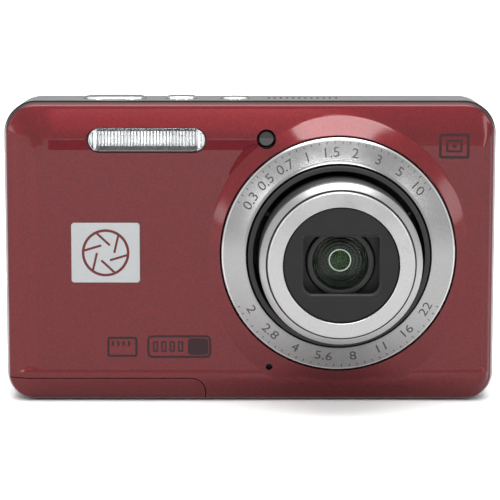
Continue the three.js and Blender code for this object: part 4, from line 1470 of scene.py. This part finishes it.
def print_mark(name, strokes, x, z):
    """A printed mark of strokes on the front: a thin layer that follows its surface."""
    parts = []
    for shape in strokes:
        part = stroke(shape, x, z, FLAT_Y - 1, FLAT_Y + 2, INK)
        keep_inside(part, loft("layer", front_rings(-0.025), INK))
        cut(part, loft("under", front_rings(0.02), INK))
        parts.append(part)
    add_to(gathered(name, parts), name, "front_cover")


def marks():
    """Plain pictograms where the front is printed: a card, a film strip, and nested frames for the zoom."""
    card = [(-2.8, 2.8, -1.9, 1.9, 0.5, 0.42)]
    card += [(i - 2.0, i - 1.55, 0.2, 1.1, 0.1, 0) for i in range(4)]
    print_mark("mark_card", card, -23.7, 10.5)
    strip = [(-5.95, 5.95, -2.15, 2.15, 1.0, 0.42), (1.6, 5.4, -1.55, 1.55, 0.6, 0)]
    strip += [(-4.9 + i * 1.55, -3.9 + i * 1.55, -1.0, 1.0, 0.2, 0.3) for i in range(4)]
    print_mark("mark_strip", strip, -13.15, 10.55)
    frames = [(-2.8, 2.8, -2.3, 2.3, 0.5, 0.5), (-1.5, 1.5, -1.15, 1.15, 0.3, 0.4)]
    frames.append((-0.35, 0.35, -0.3, 0.3, 0.1, 0))
    print_mark("mark_frames", frames, 37.5, 47.9)


flash_glass()
flash_bowl()
focus_lamp()
badge()
marks()

# ---------------------------------------------------------------- sides and base


def screw(node, axis, out):
    """A small pan head with a cross recess, on its shank. Its head is towards out, 1 or -1, on the axis."""
    low, high = box_mm(node)
    face, back = middle(node), middle(node)
    face[axis], back[axis] = (high[axis], low[axis]) if out > 0 else (low[axis], high[axis])
    outward = Vector((0, 0, 0))
    outward[axis] = out
    made = rod("head", 1.4, face, face - outward * 0.6, STEEL, 48, 0.12)
    join(made, rod("shank", 0.68, face - outward * 0.5, back, STEEL, 24, 0.1))
    for across in [other for other in (X, Y, Z) if other != axis]:
        size = Vector((0.14, 0.14, 0.14))
        size[across] = 0.75
        size[axis] = 0.35
        cut(made, block("cross", face - size, face + size, BAFFLE))
    finish_piece(made, node + "_pan", node)


def tripod_socket():
    """A steel bush with a ring cut in its face and a threaded bore."""
    low, high = box_mm("tripod_socket")
    at = middle("tripod_socket")
    bore, root = 3.05, 3.35
    pitch, thread = 1.016, 0.889
    rim = [(5.0, 0.12), (4.88, 0), (4.3, 0), (4.2, 0.1), (3.6, 0.1), (3.5, 0), (root, 0), (bore, 0.3)]
    outline = [(radius, -low.z - fall) for radius, fall in rim]
    for i in range(5):
        z = -0.5 - i * pitch
        outline += [(bore, z), (root, z - thread / 2), (bore, z - thread)]
    outline += [(bore, -5.8), (0, -5.8), (0, -high.z), (5.0, -high.z)]
    bush = turned("bush", outline, STEEL, 96, Vector((at.x, 0, at.y)))
    finish_piece(turn_to_top(bush), "tripod_bush", "tripod_socket")


def strap_lug():
    """A bar for the strap, set in the side."""
    low, high = box_mm("strap_lug")
    lug = plate("lug", (low.x, high.x, low.y, high.y, 0.3), -high.z, -low.z, STEEL, 0.25, 4, 6, True)
    turn_to_top(lug)
    slot = (-SIDE_X, -SIDE_X + 0.72, low.z + 1, high.z - 1, 0.3)
    cut(lug, plate("slot", slot, -FAR, FAR, STEEL, steps=6))
    finish_piece(lug, "strap_bar", "strap_lug")


def port_cover():
    """A soft flap with a finger nub, and a mark of three bars on it."""
    low, high = box_mm("port_cover")
    outer = (low.y, high.y, 10.0, high.z, 0.8)
    turn_left = Matrix(((0, 1, 0, 0), (1, 0, 0, 0), (0, 0, 1, 0), (0, 0, 0, 1)))
    cover = plate("cover", outer, -SIDE_X - 0.3, -44.95, RUBBER, 0.2, 4)
    nub = plate("nub", (1.5, 4.0, low.z, 10.5, 0.5), low.x, -45.1, RUBBER, 0.15, 4)
    for part in (cover, nub):
        part.data.transform(turn_left)
        part.data.flip_normals()
    join(cover, nub)
    finish_piece(cover, "port_flap", "port_cover")
    bars = []
    for i, half in enumerate((1.1, 0.7, 0.3)):
        z = 28 + i * 0.8
        corners = (-SIDE_X - 0.33, 2.7 - half, z), (-SIDE_X - 0.25, 2.7 + half, z + 0.25)
        bars.append(block("bar", *corners, PALE_INK))
    add_to(gathered("icon", bars), "port_mark", "port_cover")


screw("bottom_screw_1", Z, -1)
screw("bottom_screw_2", Z, -1)
screw("side_screw", X, 1)
tripod_socket()
strap_lug()
port_cover()
